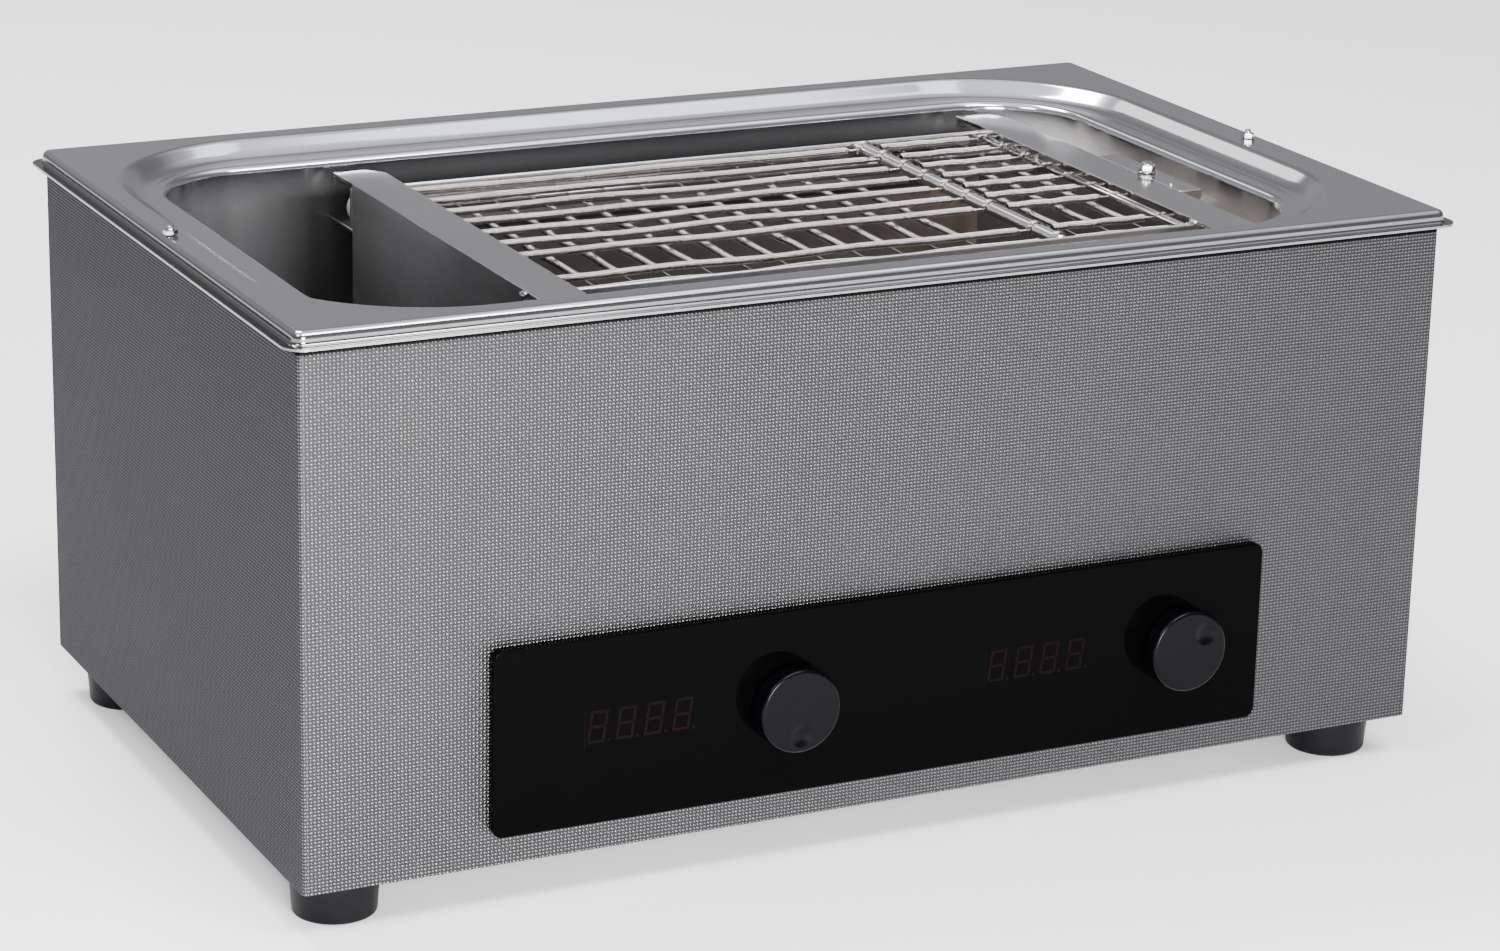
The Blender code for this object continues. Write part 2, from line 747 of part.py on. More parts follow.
def end_panel(name, low_x, foot_side, tab, parent):
    # Flange first, then the wall, hooks and foot, each set in a little from the edges it joins
    spot = (0.0, WELL_Y, FLANGE_Z - CAR_SHEET / 2)
    outline = flange_outline(low_x, low_x + FLANGE_W, tab)
    obj = plate(name, [outline], CAR_SHEET, spot, UPRIGHT, POLISHED, parent)
    half = END_D / 2
    middle = FLANGE_Z - CAR_SHEET / 2
    wall = low_x + SHEET_INSET
    low = (wall, WELL_Y - half, END_Z)
    high = (wall + CAR_SHEET, WELL_Y + half, middle)
    join(obj, box("panel_wall", low, high, POLISHED, home=TOOLS))
    reach = FLANGE_LEN / 2 - SHEET_INSET
    for side in (-1, 1):
        ends = sorted((WELL_Y + side * reach, WELL_Y + side * (reach - CAR_SHEET)))
        low = (wall, ends[0], FLANGE_Z - FLANGE_HOOK)
        high = (low_x + FLANGE_W - FLANGE_CHAMFER - SHEET_INSET, ends[1], middle)
        join(obj, box("flange_hook", low, high, POLISHED, home=TOOLS))
    centre = wall + CAR_SHEET / 2
    ends = sorted((centre, centre + foot_side * END_FOOT))
    low = (ends[0], WELL_Y - half + SHEET_INSET, END_Z + SHEET_INSET)
    high = (ends[1], WELL_Y + half - SHEET_INSET, END_Z + SHEET_INSET + CAR_SHEET)
    return join(obj, box("panel_foot", low, high, POLISHED, home=TOOLS))


def end_panels(parent):
    end_panel("left_end_panel", CAR_LEFT, 1, False, parent)
    obj = end_panel("right_end_panel", CAR_RIGHT - FLANGE_W, -1, True, parent)
    spot = (BLOCK_X, ROD_Y, FLANGE_Z)
    cut(obj, rod("bolt_hole", spot, UPRIGHT, BOLT_R + GAP, 0.01, POLISHED, home=TOOLS))


def carriage_rail(name, side, parent):
    inner = WELL_Y + side * RAIL_IN
    outer = WELL_Y + side * RAIL_OUT
    top = FLANGE_UNDER - GAP
    ends = sorted((inner, outer))
    low = (CAR_LEFT, ends[0], top - RAIL_H)
    high = (CAR_RIGHT, ends[1], top)
    obj = box(name, low, high, POLISHED, parent)
    ends = sorted((outer, WELL_Y + side * (RAIL_IN - RAIL_LIP)))
    lip_z = top - RAIL_LIP_DROP
    low = (END_LEFT + GAP, ends[0], lip_z - CAR_SHEET)
    high = (END_RIGHT - GAP, ends[1], lip_z)
    join(obj, box("rail_lip", low, high, POLISHED, home=TOOLS))
    reach = RAIL_T / 2 + ROLLER_OFF + ROLLER_W + 0.001
    for x in roller_places():
        middle = (x, (inner + outer) / 2 + side * reach / 2, ROLLER_Z)
        join(obj, rod("axle", middle, FACE_FRONT, AXLE_R, reach, POLISHED, sides=16, home=TOOLS))
    return obj


def roller_places():
    return (CAR_LEFT + ROLLER_INSET, CAR_RIGHT - ROLLER_INSET)


def rollers(parent):
    half = ROLLER_W / 2
    edge = 0.0006
    bore = AXLE_R + GAP
    profile = [
        (bore, -half),
        (bore, half),
        (ROLLER_R - edge, half),
        (ROLLER_R, half - edge),
        (ROLLER_R, edge - half),
        (ROLLER_R - edge, -half),
        (bore, -half),
    ]
    names = ("front_left", "front_right", "back_left", "back_right")
    number = 0
    for side in (-1, 1):
        y = WELL_Y + side * (RAIL_OUT + ROLLER_OFF + half)
        for x in roller_places():
            name = f"roller_{names[number]}"
            lathe(name, profile, (x, y, ROLLER_Z), FACE_FRONT, NYLON, sides=18, parent=parent)
            number += 1


def roller_rails():
    for name, side in (("roller_rail_front", -1), ("roller_rail_back", 1)):
        wall = WELL_D / 2 - GAP
        top = ROLLER_Z - ROLLER_R - GAP
        near = RAIL_OUT + 0.002
        start = CAR_LEFT - TRACK_OVER
        end = CAR_RIGHT + TRACK_OVER
        straight = WELL_RIGHT - WELL_R - 0.001
        outline = [
            (start, side * near),
            (end, side * near),
            (end, side * (wall - TRACK_CHAMFER)),
            (straight, side * wall),
            (start, side * wall),
        ]
        spot = (0.0, WELL_Y, top - TRACK_T / 2)
        obj = plate(name, [outline[::side]], TRACK_T, spot, UPRIGHT, POLISHED)
        ends = sorted((WELL_Y + side * (wall - TRACK_T), WELL_Y + side * wall))
        low = (start, ends[0], top - TRACK_LEG)
        high = (straight, ends[1], top)
        join(obj, box("track_leg", low, high, POLISHED, home=TOOLS))


def tray_floor(parent):
    z = END_Z + SHEET_INSET + CAR_SHEET + GAP
    low = (END_LEFT + GAP, WELL_Y - END_D / 2, z)
    high = (END_RIGHT - GAP, WELL_Y + END_D / 2, z + TRAY_T)
    box("tray_floor", low, high, POLISHED, parent)


def cross_bar(parent):
    length = 2 * (RAIL_IN - GAP)
    rod("cross_bar", (BAR_X, WELL_Y, SPRING_Z), FACE_FRONT, BAR_R, length, POLISHED, 20, parent)


# Springs

def spring_profile(length, hook, radius):
    half = length / 2
    coil = half - hook
    return [
        (0.0, half),
        (radius, half),
        (radius, coil),
        (COIL_R, coil),
        (COIL_R, -coil),
        (radius, -coil),
        (radius, -half),
        (0.0, -half),
    ]


def spring_rows():
    rows = []
    for i in range(SPRING_ROWS):
        if i != EMPTY_ROW:
            rows.append((i, WELL_Y + (i - (SPRING_ROWS - 1) / 2) * SPRING_PITCH))
    return rows


def coil_path(start, end, y):
    first = start + HOOK_LEN
    pitch = (end - HOOK_LEN - first) / CURLS
    radius = COIL_R - WIRE_R
    points = [(start, y, SPRING_Z)]
    for i in range(CURLS * CURL_POINTS + 1):
        angle = 2 * math.pi * i / CURL_POINTS
        ramp = min(1.0, (i + 1) / 4, (CURLS * CURL_POINTS - i + 1) / 4)
        swing = radius * ramp
        x = first + pitch * i / CURL_POINTS
        points.append((x, y + swing * math.cos(angle), SPRING_Z + swing * math.sin(angle)))
    points.append((end, y, SPRING_Z))
    return points


def least_gap(points):
    half_turn = CURL_POINTS // 2
    least = 1.0
    for i, here in enumerate(points):
        for other in points[i + half_turn + 1:i + 3 * CURL_POINTS]:
            span = math.dist(here, other)
            least = min(least, span)
    return least - 2 * WIRE_R


def upper_springs(parent):
    start = END_LEFT + GAP
    end = BAR_X - BAR_R - GAP
    length = end - start
    profile = spring_profile(length, HOOK_LEN, WIRE_R)
    for i, y in spring_rows():
        name = f"upper_spring_{i + 1}"
        if i == CURLED_ROW:
            path = coil_path(start, end, y)
            print("least gap between curls, mm:", round(1000 * least_gap(path), 3))
            wire(name, path, WIRE_R, SPRING_STEEL, parent)
        else:
            spot = ((start + end) / 2, y, SPRING_Z)
            lathe(name, profile, spot, ALONG_X, SPRING_STEEL, sides=6, parent=parent)


def right_springs(parent):
    start = BAR_X + BAR_R + GAP
    end = END_RIGHT - GAP - ROD_HOOK_R
    hook = HOOK_LEN * 0.8
    profile = spring_profile(end - start, hook, WIRE_R)
    spot = (end, WELL_Y, SPRING_Z)
    length = (SPRING_ROWS - 1) * SPRING_PITCH + 0.006
    obj = rod("right_springs", spot, FACE_FRONT, ROD_HOOK_R, length, SPRING_STEEL, 8, parent)
    tools = []
    for i, y in spring_rows():
        spot = ((start + end) / 2, y, SPRING_Z)
        tools.append(lathe("short_spring", profile, spot, ALONG_X, SPRING_STEEL, 8, home=TOOLS))
    join_all(obj, tools, "short_springs")


def lower_places():
    places = []
    sections = (
        (END_LEFT + LOWER_LEFT_START, BAR_X - LOWER_LEFT_END, LOWER_LEFT_N),
        (BAR_X + LOWER_RIGHT_START, END_RIGHT - LOWER_RIGHT_END, LOWER_RIGHT_N),
    )
    for start, end, count in sections:
        for i in range(count):
            places.append(start + (end - start) * i / (count - 1))
    return places


def lower_springs(parent):
    reach = RAIL_IN - 0.0025
    profile = spring_profile(2 * reach, LOWER_HOOK, WIRE_R)
    low_x = END_LEFT + GAP
    high_x = END_RIGHT - GAP
    spot = ((low_x + high_x) / 2, WELL_Y - reach, LOWER_Z)
    length = high_x - low_x
    obj = rod("lower_springs", spot, ALONG_X, ROD_HOOK_R, length, SPRING_STEEL, 8, parent)
    spot = ((low_x + high_x) / 2, WELL_Y + reach, LOWER_Z)
    tools = [rod("back_hook_rod", spot, ALONG_X, ROD_HOOK_R, length, SPRING_STEEL, 8, home=TOOLS)]
    for x in lower_places():
        spot = (x, WELL_Y, LOWER_Z)
        tools.append(lathe("long_spring", profile, spot, FACE_FRONT, SPRING_STEEL, 8, home=TOOLS))
    join_all(obj, tools, "long_springs")


# Drive

def drive_rod(parent):
    top = FLANGE_UNDER - GAP
    low = (BLOCK_X - BLOCK_W / 2, ROD_Y - BLOCK_D / 2, top - BLOCK_H)
    high = (BLOCK_X + BLOCK_W / 2, ROD_Y + BLOCK_D / 2, top)
    obj = box("drive_rod", low, high, PLAIN_STEEL, parent)
    start = BLOCK_X
    end = ARM_X + YOKE_T
    spot = ((start + end) / 2, ROD_Y, ROD_Z)
    join(obj, rod("rod", spot, ALONG_X, ROD_R, end - start, PLAIN_STEEL, home=TOOLS))
    spot = (BLOCK_X, ROD_Y, top)
    cut(obj, rod("bolt_bore", spot, UPRIGHT, BOLT_R + GAP, 2 * BOLT_LEN, PLAIN_STEEL, home=TOOLS))


def drive_bolt(parent):
    washer = 0.001
    seat = FLANGE_Z + GAP
    length = BOLT_LEN + FLANGE_Z - FLANGE_UNDER
    profile = [
        (0.0, BOLT_END_H),
        (BOLT_R, BOLT_END_H),
        (BOLT_R, washer),
        (BOLT_HEAD_R * 1.15, washer),
        (BOLT_HEAD_R * 1.15, 0.0),
        (BOLT_R, 0.0),
        (BOLT_R, -length + 0.001),
        (0.0, -length + 0.001),
    ]
    spot = (BLOCK_X, ROD_Y, seat)
    obj = lathe("drive_bolt", profile, spot, UPRIGHT, PLAIN_STEEL, sides=20, parent=parent)
    spot = (BLOCK_X, ROD_Y, seat + washer / 2 + BOLT_HEAD_H / 2)
    head = rod("bolt_head", spot, UPRIGHT, BOLT_HEAD_R, BOLT_HEAD_H, PLAIN_STEEL, 6, home=TOOLS)
    join(obj, head)


def rod_bush():
    inside = 0.0015
    flange = 0.002
    bore = ROD_R + GAP
    wall = TANK_SHEET
    profile = [
        (bore, wall + GAP + flange),
        (BUSHING_FLANGE_R, wall + GAP + flange),
        (BUSHING_FLANGE_R, wall + GAP),
        (BUSHING_R, wall + GAP),
        (BUSHING_R, -inside),
        (bore, -inside),
        (bore, wall + GAP + flange),
    ]
    spot = (WELL_RIGHT, ROD_Y, ROD_Z)
    lathe("rod_bush", profile, spot, ALONG_X, NYLON, sides=24)


def drive_yoke(parent):
    left = CRANK_X - PIN_R - SLOT_SLACK - 0.012
    low = (left, ROD_Y - YOKE_W / 2, YOKE_Z)
    high = (ARM_X + YOKE_T, ROD_Y + YOKE_W / 2, YOKE_Z + YOKE_T)
    obj = box("drive_yoke", low, high, PLAIN_STEEL, parent)
    low = (ARM_X, ROD_Y - ARM_W / 2, YOKE_Z)
    high = (ARM_X + YOKE_T, ROD_Y + ARM_W / 2, ROD_Z + ROD_R + 0.006)
    join(obj, box("yoke_arm", low, high, PLAIN_STEEL, home=TOOLS))
    half = PIN_R + SLOT_SLACK / 2
    low = (CRANK_X - half, ROD_Y - half, YOKE_Z - 0.005)
    high = (CRANK_X + half, ROD_Y + CRANK_R + half, YOKE_Z + YOKE_T + 0.005)
    cut(obj, box("yoke_slot", low, high, PLAIN_STEEL, home=TOOLS))
    spot = (ARM_X, ROD_Y, ROD_Z)
    cut(obj, rod("rod_hole", spot, ALONG_X, ROD_R + GAP, 0.02, PLAIN_STEEL, home=TOOLS))


def crank(parent):
    loops = [
        circle(0.0, 0.0, DISC_R, 32),
        circle(0.0, 0.0, DRIVE_SHAFT_R + GAP),
        circle(0.0, CRANK_R, PIN_R + GAP, 16),
    ]
    spot = (CRANK_X, ROD_Y, DISC_Z + DISC_T / 2)
    plate("crank_disc", loops, DISC_T, spot, UPRIGHT, PLAIN_STEEL, parent)
    low = DISC_Z
    high = YOKE_Z + YOKE_T
    spot = (CRANK_X, ROD_Y + CRANK_R, (low + high) / 2)
    rod("crank_pin", spot, UPRIGHT, PIN_R, high - low, PLAIN_STEEL, 16, parent)
    low = MOTOR_Z + MOTOR_H - 0.010
    high = DISC_Z + DISC_T
    spot = (CRANK_X, ROD_Y, (low + high) / 2)
    rod("motor_shaft", spot, UPRIGHT, DRIVE_SHAFT_R, high - low, PLAIN_STEEL, 24, parent)


def motor():
    top = MOTOR_H
    bore = DRIVE_SHAFT_R + GAP
    deep = top - 0.010 - GAP
    edge = 0.002
    profile = [
        (0.0, deep),
        (bore, deep),
        (bore, top),
        (MOTOR_R - edge, top),
        (MOTOR_R, top - edge),
        (MOTOR_R, edge),
        (MOTOR_R - edge, 0.0),
        (0.0, 0.0),
    ]
    lathe("motor", profile, (CRANK_X, ROD_Y, MOTOR_Z), UPRIGHT, PLAIN_STEEL)


def motor_bracket():
    half = BRACKET_SPAN / 2
    top = BRACKET_Z + BRACKET_T
    low = BASE_Z + SHEET + GAP
    outline = [
        (-half - BRACKET_FOOT, low),
        (-half + BRACKET_T, low),
        (-half + BRACKET_T, BRACKET_Z),
        (half - BRACKET_T, BRACKET_Z),
        (half - BRACKET_T, low),
        (half + BRACKET_FOOT, low),
        (half + BRACKET_FOOT, low + BRACKET_T),
        (half, low + BRACKET_T),
        (half, top),
        (-half, top),
        (-half, low + BRACKET_T),
        (-half - BRACKET_FOOT, low + BRACKET_T),
    ]
    spot = (CRANK_X, ROD_Y, 0.0)
    obj = plate("motor_bracket", [outline], BRACKET_D, spot, FACE_FRONT, PLAIN_STEEL)
    spot = (CRANK_X, ROD_Y, BRACKET_Z)
    tool = rod("shaft_hole", spot, UPRIGHT, DRIVE_SHAFT_R + 0.001, 0.02, PLAIN_STEEL, home=TOOLS)
    cut(obj, tool)


# Heater, sensor and power inlet

def heater():
    mid_x = TANK_X - HEATER_OFF
    low = (mid_x - HEATER_W / 2, WELL_Y - HEATER_D / 2, UNDER_Z - GAP - HEATER_T)
    high = (mid_x + HEATER_W / 2, WELL_Y + HEATER_D / 2, UNDER_Z - GAP)
    box("heater_pad", low, high, HEATER_ORANGE)
    x = mid_x + HEATER_W / 2 + 0.015
    spot = (x, WELL_Y - 0.04, UNDER_Z - GAP - SENSOR_R)
    rod("temperature_sensor", spot, FACE_FRONT, SENSOR_R, SENSOR_LEN, PLAIN_STEEL, 16)


def power_inlet():
    z = BASE_Z + INLET_Z
    outer = BACK_Y + GAP
    low = (INLET_X - INLET_W / 2, outer, z - INLET_H / 2)
    high = (INLET_X + INLET_W / 2, outer + INLET_T, z + INLET_H / 2)
    obj = box("power_inlet", low, high, GLOSS_BLACK)
    low = (INLET_X - INLET_BODY_W / 2, outer - INLET_DEPTH, z - INLET_BODY_H / 2)
    high = (INLET_X + INLET_BODY_W / 2, outer + INLET_T / 2, z + INLET_BODY_H / 2)
    join(obj, box("inlet_body", low, high, GLOSS_BLACK, home=TOOLS))
    socket = INLET_X + 0.009
    face = outer + INLET_T
    low = (socket - 0.012, outer - 0.014, z - 0.008)
    high = (socket + 0.012, face + 0.005, z + 0.008)
    cut(obj, box("socket", low, high, GLOSS_BLACK, home=TOOLS))
    for off_x, off_z in ((-0.007, -0.002), (0.007, -0.002), (0.0, 0.002)):
        low = (socket + off_x - 0.001, outer - 0.016, z + off_z - 0.002)
        high = (socket + off_x + 0.001, outer - 0.002, z + off_z + 0.002)
        join(obj, box("contact", low, high, GLOSS_BLACK, home=TOOLS))
    middle = rocker_x()
    half_h = ROCKER_H / 2 + 0.0006
    low = (middle - ROCKER_W / 2 - GAP, outer - 0.010, z - half_h)
    high = (middle + ROCKER_W / 2 + GAP, face + 0.005, z + half_h)
    cut(obj, box("rocker_well", low, high, GLOSS_BLACK, home=TOOLS))


def rocker_x():
    return INLET_X - INLET_BODY_W / 2 + ROCKER_W / 2 + 0.003


def rocker():
    half = ROCKER_H / 2
    outline = [
        (-0.002, 0.0),
        (0.002, 0.0),
        (half * 0.72, 0.004),
        (half * 0.96, 0.0085),
        (0.0, 0.0068),
        (-half * 0.96, 0.0085),
        (-half * 0.72, 0.004),
    ]
    spot = (rocker_x(), BACK_Y + GAP - 0.001, BASE_Z + INLET_Z)
    turn = (Matrix.Rotation(ROCKER_TILT, 3, "X") @ rocker_frame()).to_euler()
    moved = [(up, out - 0.0045) for up, out in outline]
    plate("rocker", [moved], ROCKER_W, spot, turn, KNOB_BLACK)


def rocker_frame():
    # Outline runs up and out of the back, its width along X
    return Matrix(((0.0, 0.0, 1.0), (0.0, 1.0, 0.0), (-1.0, 0.0, 0.0)))


# Assembly

casing_wrap()
back_panel()
base_plate()
feet()
tank()
rim_studs()
control_panel()
displays()
encoders()
knob("left_knob", KNOB_LEFT_X, math.radians(-90))
knob("right_knob", KNOB_RIGHT_X, math.radians(45))
board()
heater()
power_inlet()
rocker()
motor()
motor_bracket()
rod_bush()
roller_rails()

carriage = pivot("carriage", (CAR_X, WELL_Y, FLANGE_Z))
end_panels(carriage)
carriage_rail("front_rail", -1, carriage)
carriage_rail("back_rail", 1, carriage)
tray_floor(carriage)
cross_bar(carriage)
upper_springs(carriage)
right_springs(carriage)
lower_springs(carriage)
rollers(carriage)
drive_rod(carriage)
drive_bolt(carriage)
drive_yoke(carriage)
crank(pivot("crank", (CRANK_X, ROD_Y, DISC_Z)))
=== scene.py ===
import json
import math
import random

import bmesh
import bpy
from mathutils import Matrix, Vector

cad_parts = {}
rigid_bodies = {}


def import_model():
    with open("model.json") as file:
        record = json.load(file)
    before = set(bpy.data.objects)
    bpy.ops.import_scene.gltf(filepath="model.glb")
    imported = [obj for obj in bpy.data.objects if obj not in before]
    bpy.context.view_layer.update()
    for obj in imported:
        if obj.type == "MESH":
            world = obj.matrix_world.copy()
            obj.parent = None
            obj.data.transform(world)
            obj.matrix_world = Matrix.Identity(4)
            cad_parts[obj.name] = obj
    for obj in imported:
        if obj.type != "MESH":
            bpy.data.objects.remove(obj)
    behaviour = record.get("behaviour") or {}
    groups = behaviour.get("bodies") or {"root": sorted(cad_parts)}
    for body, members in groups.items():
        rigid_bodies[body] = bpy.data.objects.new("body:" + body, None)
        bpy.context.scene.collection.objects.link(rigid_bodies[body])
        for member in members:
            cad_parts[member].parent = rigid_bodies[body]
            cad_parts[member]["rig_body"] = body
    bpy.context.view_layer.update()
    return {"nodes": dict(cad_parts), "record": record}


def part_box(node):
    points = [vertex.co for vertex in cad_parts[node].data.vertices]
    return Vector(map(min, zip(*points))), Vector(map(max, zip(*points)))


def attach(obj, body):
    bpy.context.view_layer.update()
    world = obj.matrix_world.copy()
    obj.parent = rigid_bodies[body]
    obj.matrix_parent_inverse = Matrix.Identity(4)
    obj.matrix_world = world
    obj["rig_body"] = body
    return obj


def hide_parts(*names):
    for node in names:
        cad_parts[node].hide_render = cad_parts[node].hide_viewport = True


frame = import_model()
random.seed(11)
MM = 0.001

# Places taken from the frame
CASE_LOW, CASE_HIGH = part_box("casing_wrap")
BACK_LOW, BACK_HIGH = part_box("back_panel")
TANK_LOW, TANK_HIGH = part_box("tank")
PANEL_LOW, PANEL_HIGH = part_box("control_panel")
LEFT_LOW, LEFT_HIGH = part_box("left_end_panel")
RIGHT_LOW, RIGHT_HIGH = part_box("right_end_panel")
BAR_LOW, BAR_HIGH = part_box("cross_bar")
FRONT_Y = CASE_LOW.y
CASE_Y = (FRONT_Y + BACK_HIGH.y) / 2
FACE_Y = PANEL_LOW.y
RIM_Z = TANK_HIGH.z
WELL_Y = CASE_Y - 1 * MM
FLANGE_Z = LEFT_HIGH.z
BAR_X = (BAR_LOW.x + BAR_HIGH.x) / 2
SPRING_Z = (BAR_LOW.z + BAR_HIGH.z) / 2
RIM_END = (TANK_HIGH - TANK_LOW) / 2 - Vector((7 * MM, 7 * MM, 0))

# Sheet sizes
CASE_SHEET = 1.2 * MM
CASE_BEND = 2.5 * MM
TANK_SHEET = 1.0 * MM
CAR_SHEET = 1.5 * MM
FOLD_R = 0.32 * MM
GAP = 0.3 * MM
FLANGE_W = 23 * MM

# Directions for turned pieces: two across the axis, then the axis
ALONG = {
    "x": (Vector((0, 1, 0)), Vector((0, 0, 1)), Vector((1, 0, 0))),
    "front": (Vector((1, 0, 0)), Vector((0, 0, 1)), Vector((0, -1, 0))),
    "back": (Vector((-1, 0, 0)), Vector((0, 0, 1)), Vector((0, 1, 0))),
    "up": (Vector((1, 0, 0)), Vector((0, 1, 0)), Vector((0, 0, 1))),
}


# Materials

class Paint:
    # A Principled material and the few node steps that the finishes share
    def __init__(self, name, colour, metallic, roughness):
        self.material = bpy.data.materials.new(name)
        self.material.use_nodes = True
        self.tree = self.material.node_tree
        self.shader = self.tree.nodes["Principled BSDF"]
        self.shader.inputs["Base Color"].default_value = (*colour, 1.0)
        self.shader.inputs["Metallic"].default_value = metallic
        self.shader.inputs["Roughness"].default_value = roughness
        self.place = self.add("ShaderNodeTexCoord").outputs["Object"]

    def add(self, kind, **settings):
        node = self.tree.nodes.new(kind)
        for key, value in settings.items():
            setattr(node, key, value)
        return node

    def feed(self, value, socket):
        if isinstance(value, bpy.types.NodeSocket):
            self.tree.links.new(value, socket)
        else:
            socket.default_value = value

    def math(self, operation, first, second=0.0):
        node = self.add("ShaderNodeMath", operation=operation)
        self.feed(first, node.inputs[0])
        self.feed(second, node.inputs[1])
        return node.outputs[0]

    def axes(self):
        return self.split(self.place)

    def split(self, vector):
        node = self.add("ShaderNodeSeparateXYZ")
        self.feed(vector, node.inputs[0])
        return node.outputs["X"], node.outputs["Y"], node.outputs["Z"]

    def noise(self, scale, detail=3.0, stretch=(1.0, 1.0, 1.0)):
        spread = self.add("ShaderNodeMapping")
        spread.inputs["Scale"].default_value = stretch
        self.feed(self.place, spread.inputs["Vector"])
        node = self.add("ShaderNodeTexNoise")
        node.inputs["Scale"].default_value = scale
        node.inputs["Detail"].default_value = detail
        self.feed(spread.outputs["Vector"], node.inputs["Vector"])
        return node.outputs["Fac"]

    def specks(self, scale, size):
        node = self.add("ShaderNodeTexVoronoi")
        node.inputs["Scale"].default_value = scale
        self.feed(self.place, node.inputs["Vector"])
        return self.math("LESS_THAN", node.outputs["Distance"], size)

    def span(self, value, low, high, start=0.35, end=0.65):
        node = self.add("ShaderNodeMapRange")
        self.feed(value, node.inputs["Value"])
        node.inputs["From Min"].default_value = start
        node.inputs["From Max"].default_value = end
        node.inputs["To Min"].default_value = low
        node.inputs["To Max"].default_value = high
        return node.outputs["Result"]

    def tint(self, value, first, second):
        node = self.add("ShaderNodeMix", data_type="RGBA")
        self.feed(value, node.inputs["Factor"])
        for socket, colour in ((node.inputs[6], first), (node.inputs[7], second)):
            if isinstance(colour, bpy.types.NodeSocket):
                self.tree.links.new(colour, socket)
            else:
                socket.default_value = (*colour, 1.0)
        return node.outputs[2]

    def colour(self, value):
        self.feed(value, self.shader.inputs["Base Color"])

    def rough(self, value):
        self.feed(value, self.shader.inputs["Roughness"])

    def bump(self, height, distance, strength=1.0):
        node = self.add("ShaderNodeBump")
        node.inputs["Distance"].default_value = distance
        node.inputs["Strength"].default_value = strength
        self.feed(height, node.inputs["Height"])
        self.feed(node.outputs["Normal"], self.shader.inputs["Normal"])

    def set(self, socket, value):
        self.shader.inputs[socket].default_value = value


def shade(colour, amount):
    return tuple(min(1.0, part * amount) for part in colour)


EMBOSS_X = 1.62 * MM
EMBOSS_Z = 1.46 * MM
# Height of the painted shadow at the casing's top, under the rim's lip
LIP_SHADOW_H = 9.2 * MM


def embossed_steel(name, wrapped):
    # Linen emboss: long flat dashes and short upright dots, turn about on a checkerboard
    grey = (0.040, 0.0385, 0.041)
    paint = Paint(name, grey, 1.0, 0.36)
    x, y, z = paint.axes()
    if wrapped:
        side = paint.math("SIGN", x)
        depth = paint.math("SUBTRACT", y, FRONT_Y)
        x = paint.math("ADD", x, paint.math("MULTIPLY", side, depth))
    across = paint.math("MULTIPLY", x, math.pi / EMBOSS_X)
    upward = paint.math("MULTIPLY", z, math.pi / EMBOSS_Z)
    wave_x = paint.math("COSINE", across)
    wave_z = paint.math("COSINE", upward)
    even = paint.math("GREATER_THAN", paint.math("MULTIPLY", wave_x, wave_z), 0.0)
    odd = paint.math("SUBTRACT", 1.0, even)
    size_x = paint.math("ABSOLUTE", wave_x)
    size_z = paint.math("ABSOLUTE", wave_z)
    dash = paint.math("MULTIPLY", paint.math("POWER", size_x, 1.2), paint.math("POWER", size_z, 4.0))
    dot = paint.math("MULTIPLY", paint.math("POWER", size_x, 5.0), paint.math("POWER", size_z, 4.0))
    raised = paint.math("ADD", paint.math("MULTIPLY", dash, even), paint.math("MULTIPLY", dot, odd))
    cloud = paint.noise(14.0, 4.0)
    base = paint.tint(paint.span(cloud, 0.0, 1.0), shade(grey, 0.97), shade(grey, 1.03))
    # Painted highlight: the raised dashes and dots are painted much lighter than the sheet
    face = paint.tint(paint.math("MULTIPLY", raised, 0.9), base, (0.27, 0.265, 0.273))
    # Painted shadow: the casing's top under the rim's lip is painted near black
    lip_shadow = paint.span(z, 0.0, 1.0, CASE_HIGH.z - LIP_SHADOW_H, CASE_HIGH.z - LIP_SHADOW_H + 1.2 * MM)
    paint.colour(paint.tint(lip_shadow, face, (0.006, 0.005, 0.005)))
    paint.rough(paint.span(raised, 0.42, 0.26, 0.1, 0.9))
    paint.bump(raised, 0.24 * MM, 1.0)
    paint.set("Specular Tint", (0.40, 0.40, 0.41, 1.0))
    return paint.material


def polished_steel(name, grey, low, high, grain, dim=1.0):
    # Bright rolled sheet: faint drawing lines, cloudy gloss, a little dust, and a darker, duller finish below the
    # flanges
    paint = Paint(name, grey, 1.0, low)
    lines = paint.noise(260.0, 4.0, grain)
    cloud = paint.noise(9.0, 4.0)
    under_flange = paint.span(paint.axes()[2], 1.0, 0.0, FLANGE_Z - 16 * MM, FLANGE_Z - 5 * MM)
    base = paint.tint(paint.span(cloud, 0.0, 1.0), shade(grey, 0.95), shade(grey, 1.04))
    base = paint.tint(paint.span(lines, 0.0, 0.25), base, shade(grey, 0.85))
    base = paint.tint(under_flange, base, shade(grey, dim))
    dust = paint.math("MULTIPLY", paint.specks(210.0, 0.055), paint.math("SUBTRACT", 0.6, paint.math("MULTIPLY", under_flange, 0.5)))
    paint.colour(paint.tint(dust, base, (0.95, 0.95, 0.96)))
    smooth = paint.span(paint.math("MULTIPLY", paint.math("ADD", lines, cloud), 0.5), low, high)
    under_flange_rough = paint.span(cloud, low + 1.0 - dim, high + 1.0 - dim)
    dry = paint.math("MULTIPLY", smooth, paint.math("SUBTRACT", 1.0, under_flange))
    paint.rough(paint.math("ADD", dry, paint.math("MULTIPLY", under_flange_rough, under_flange)))
    return paint.material


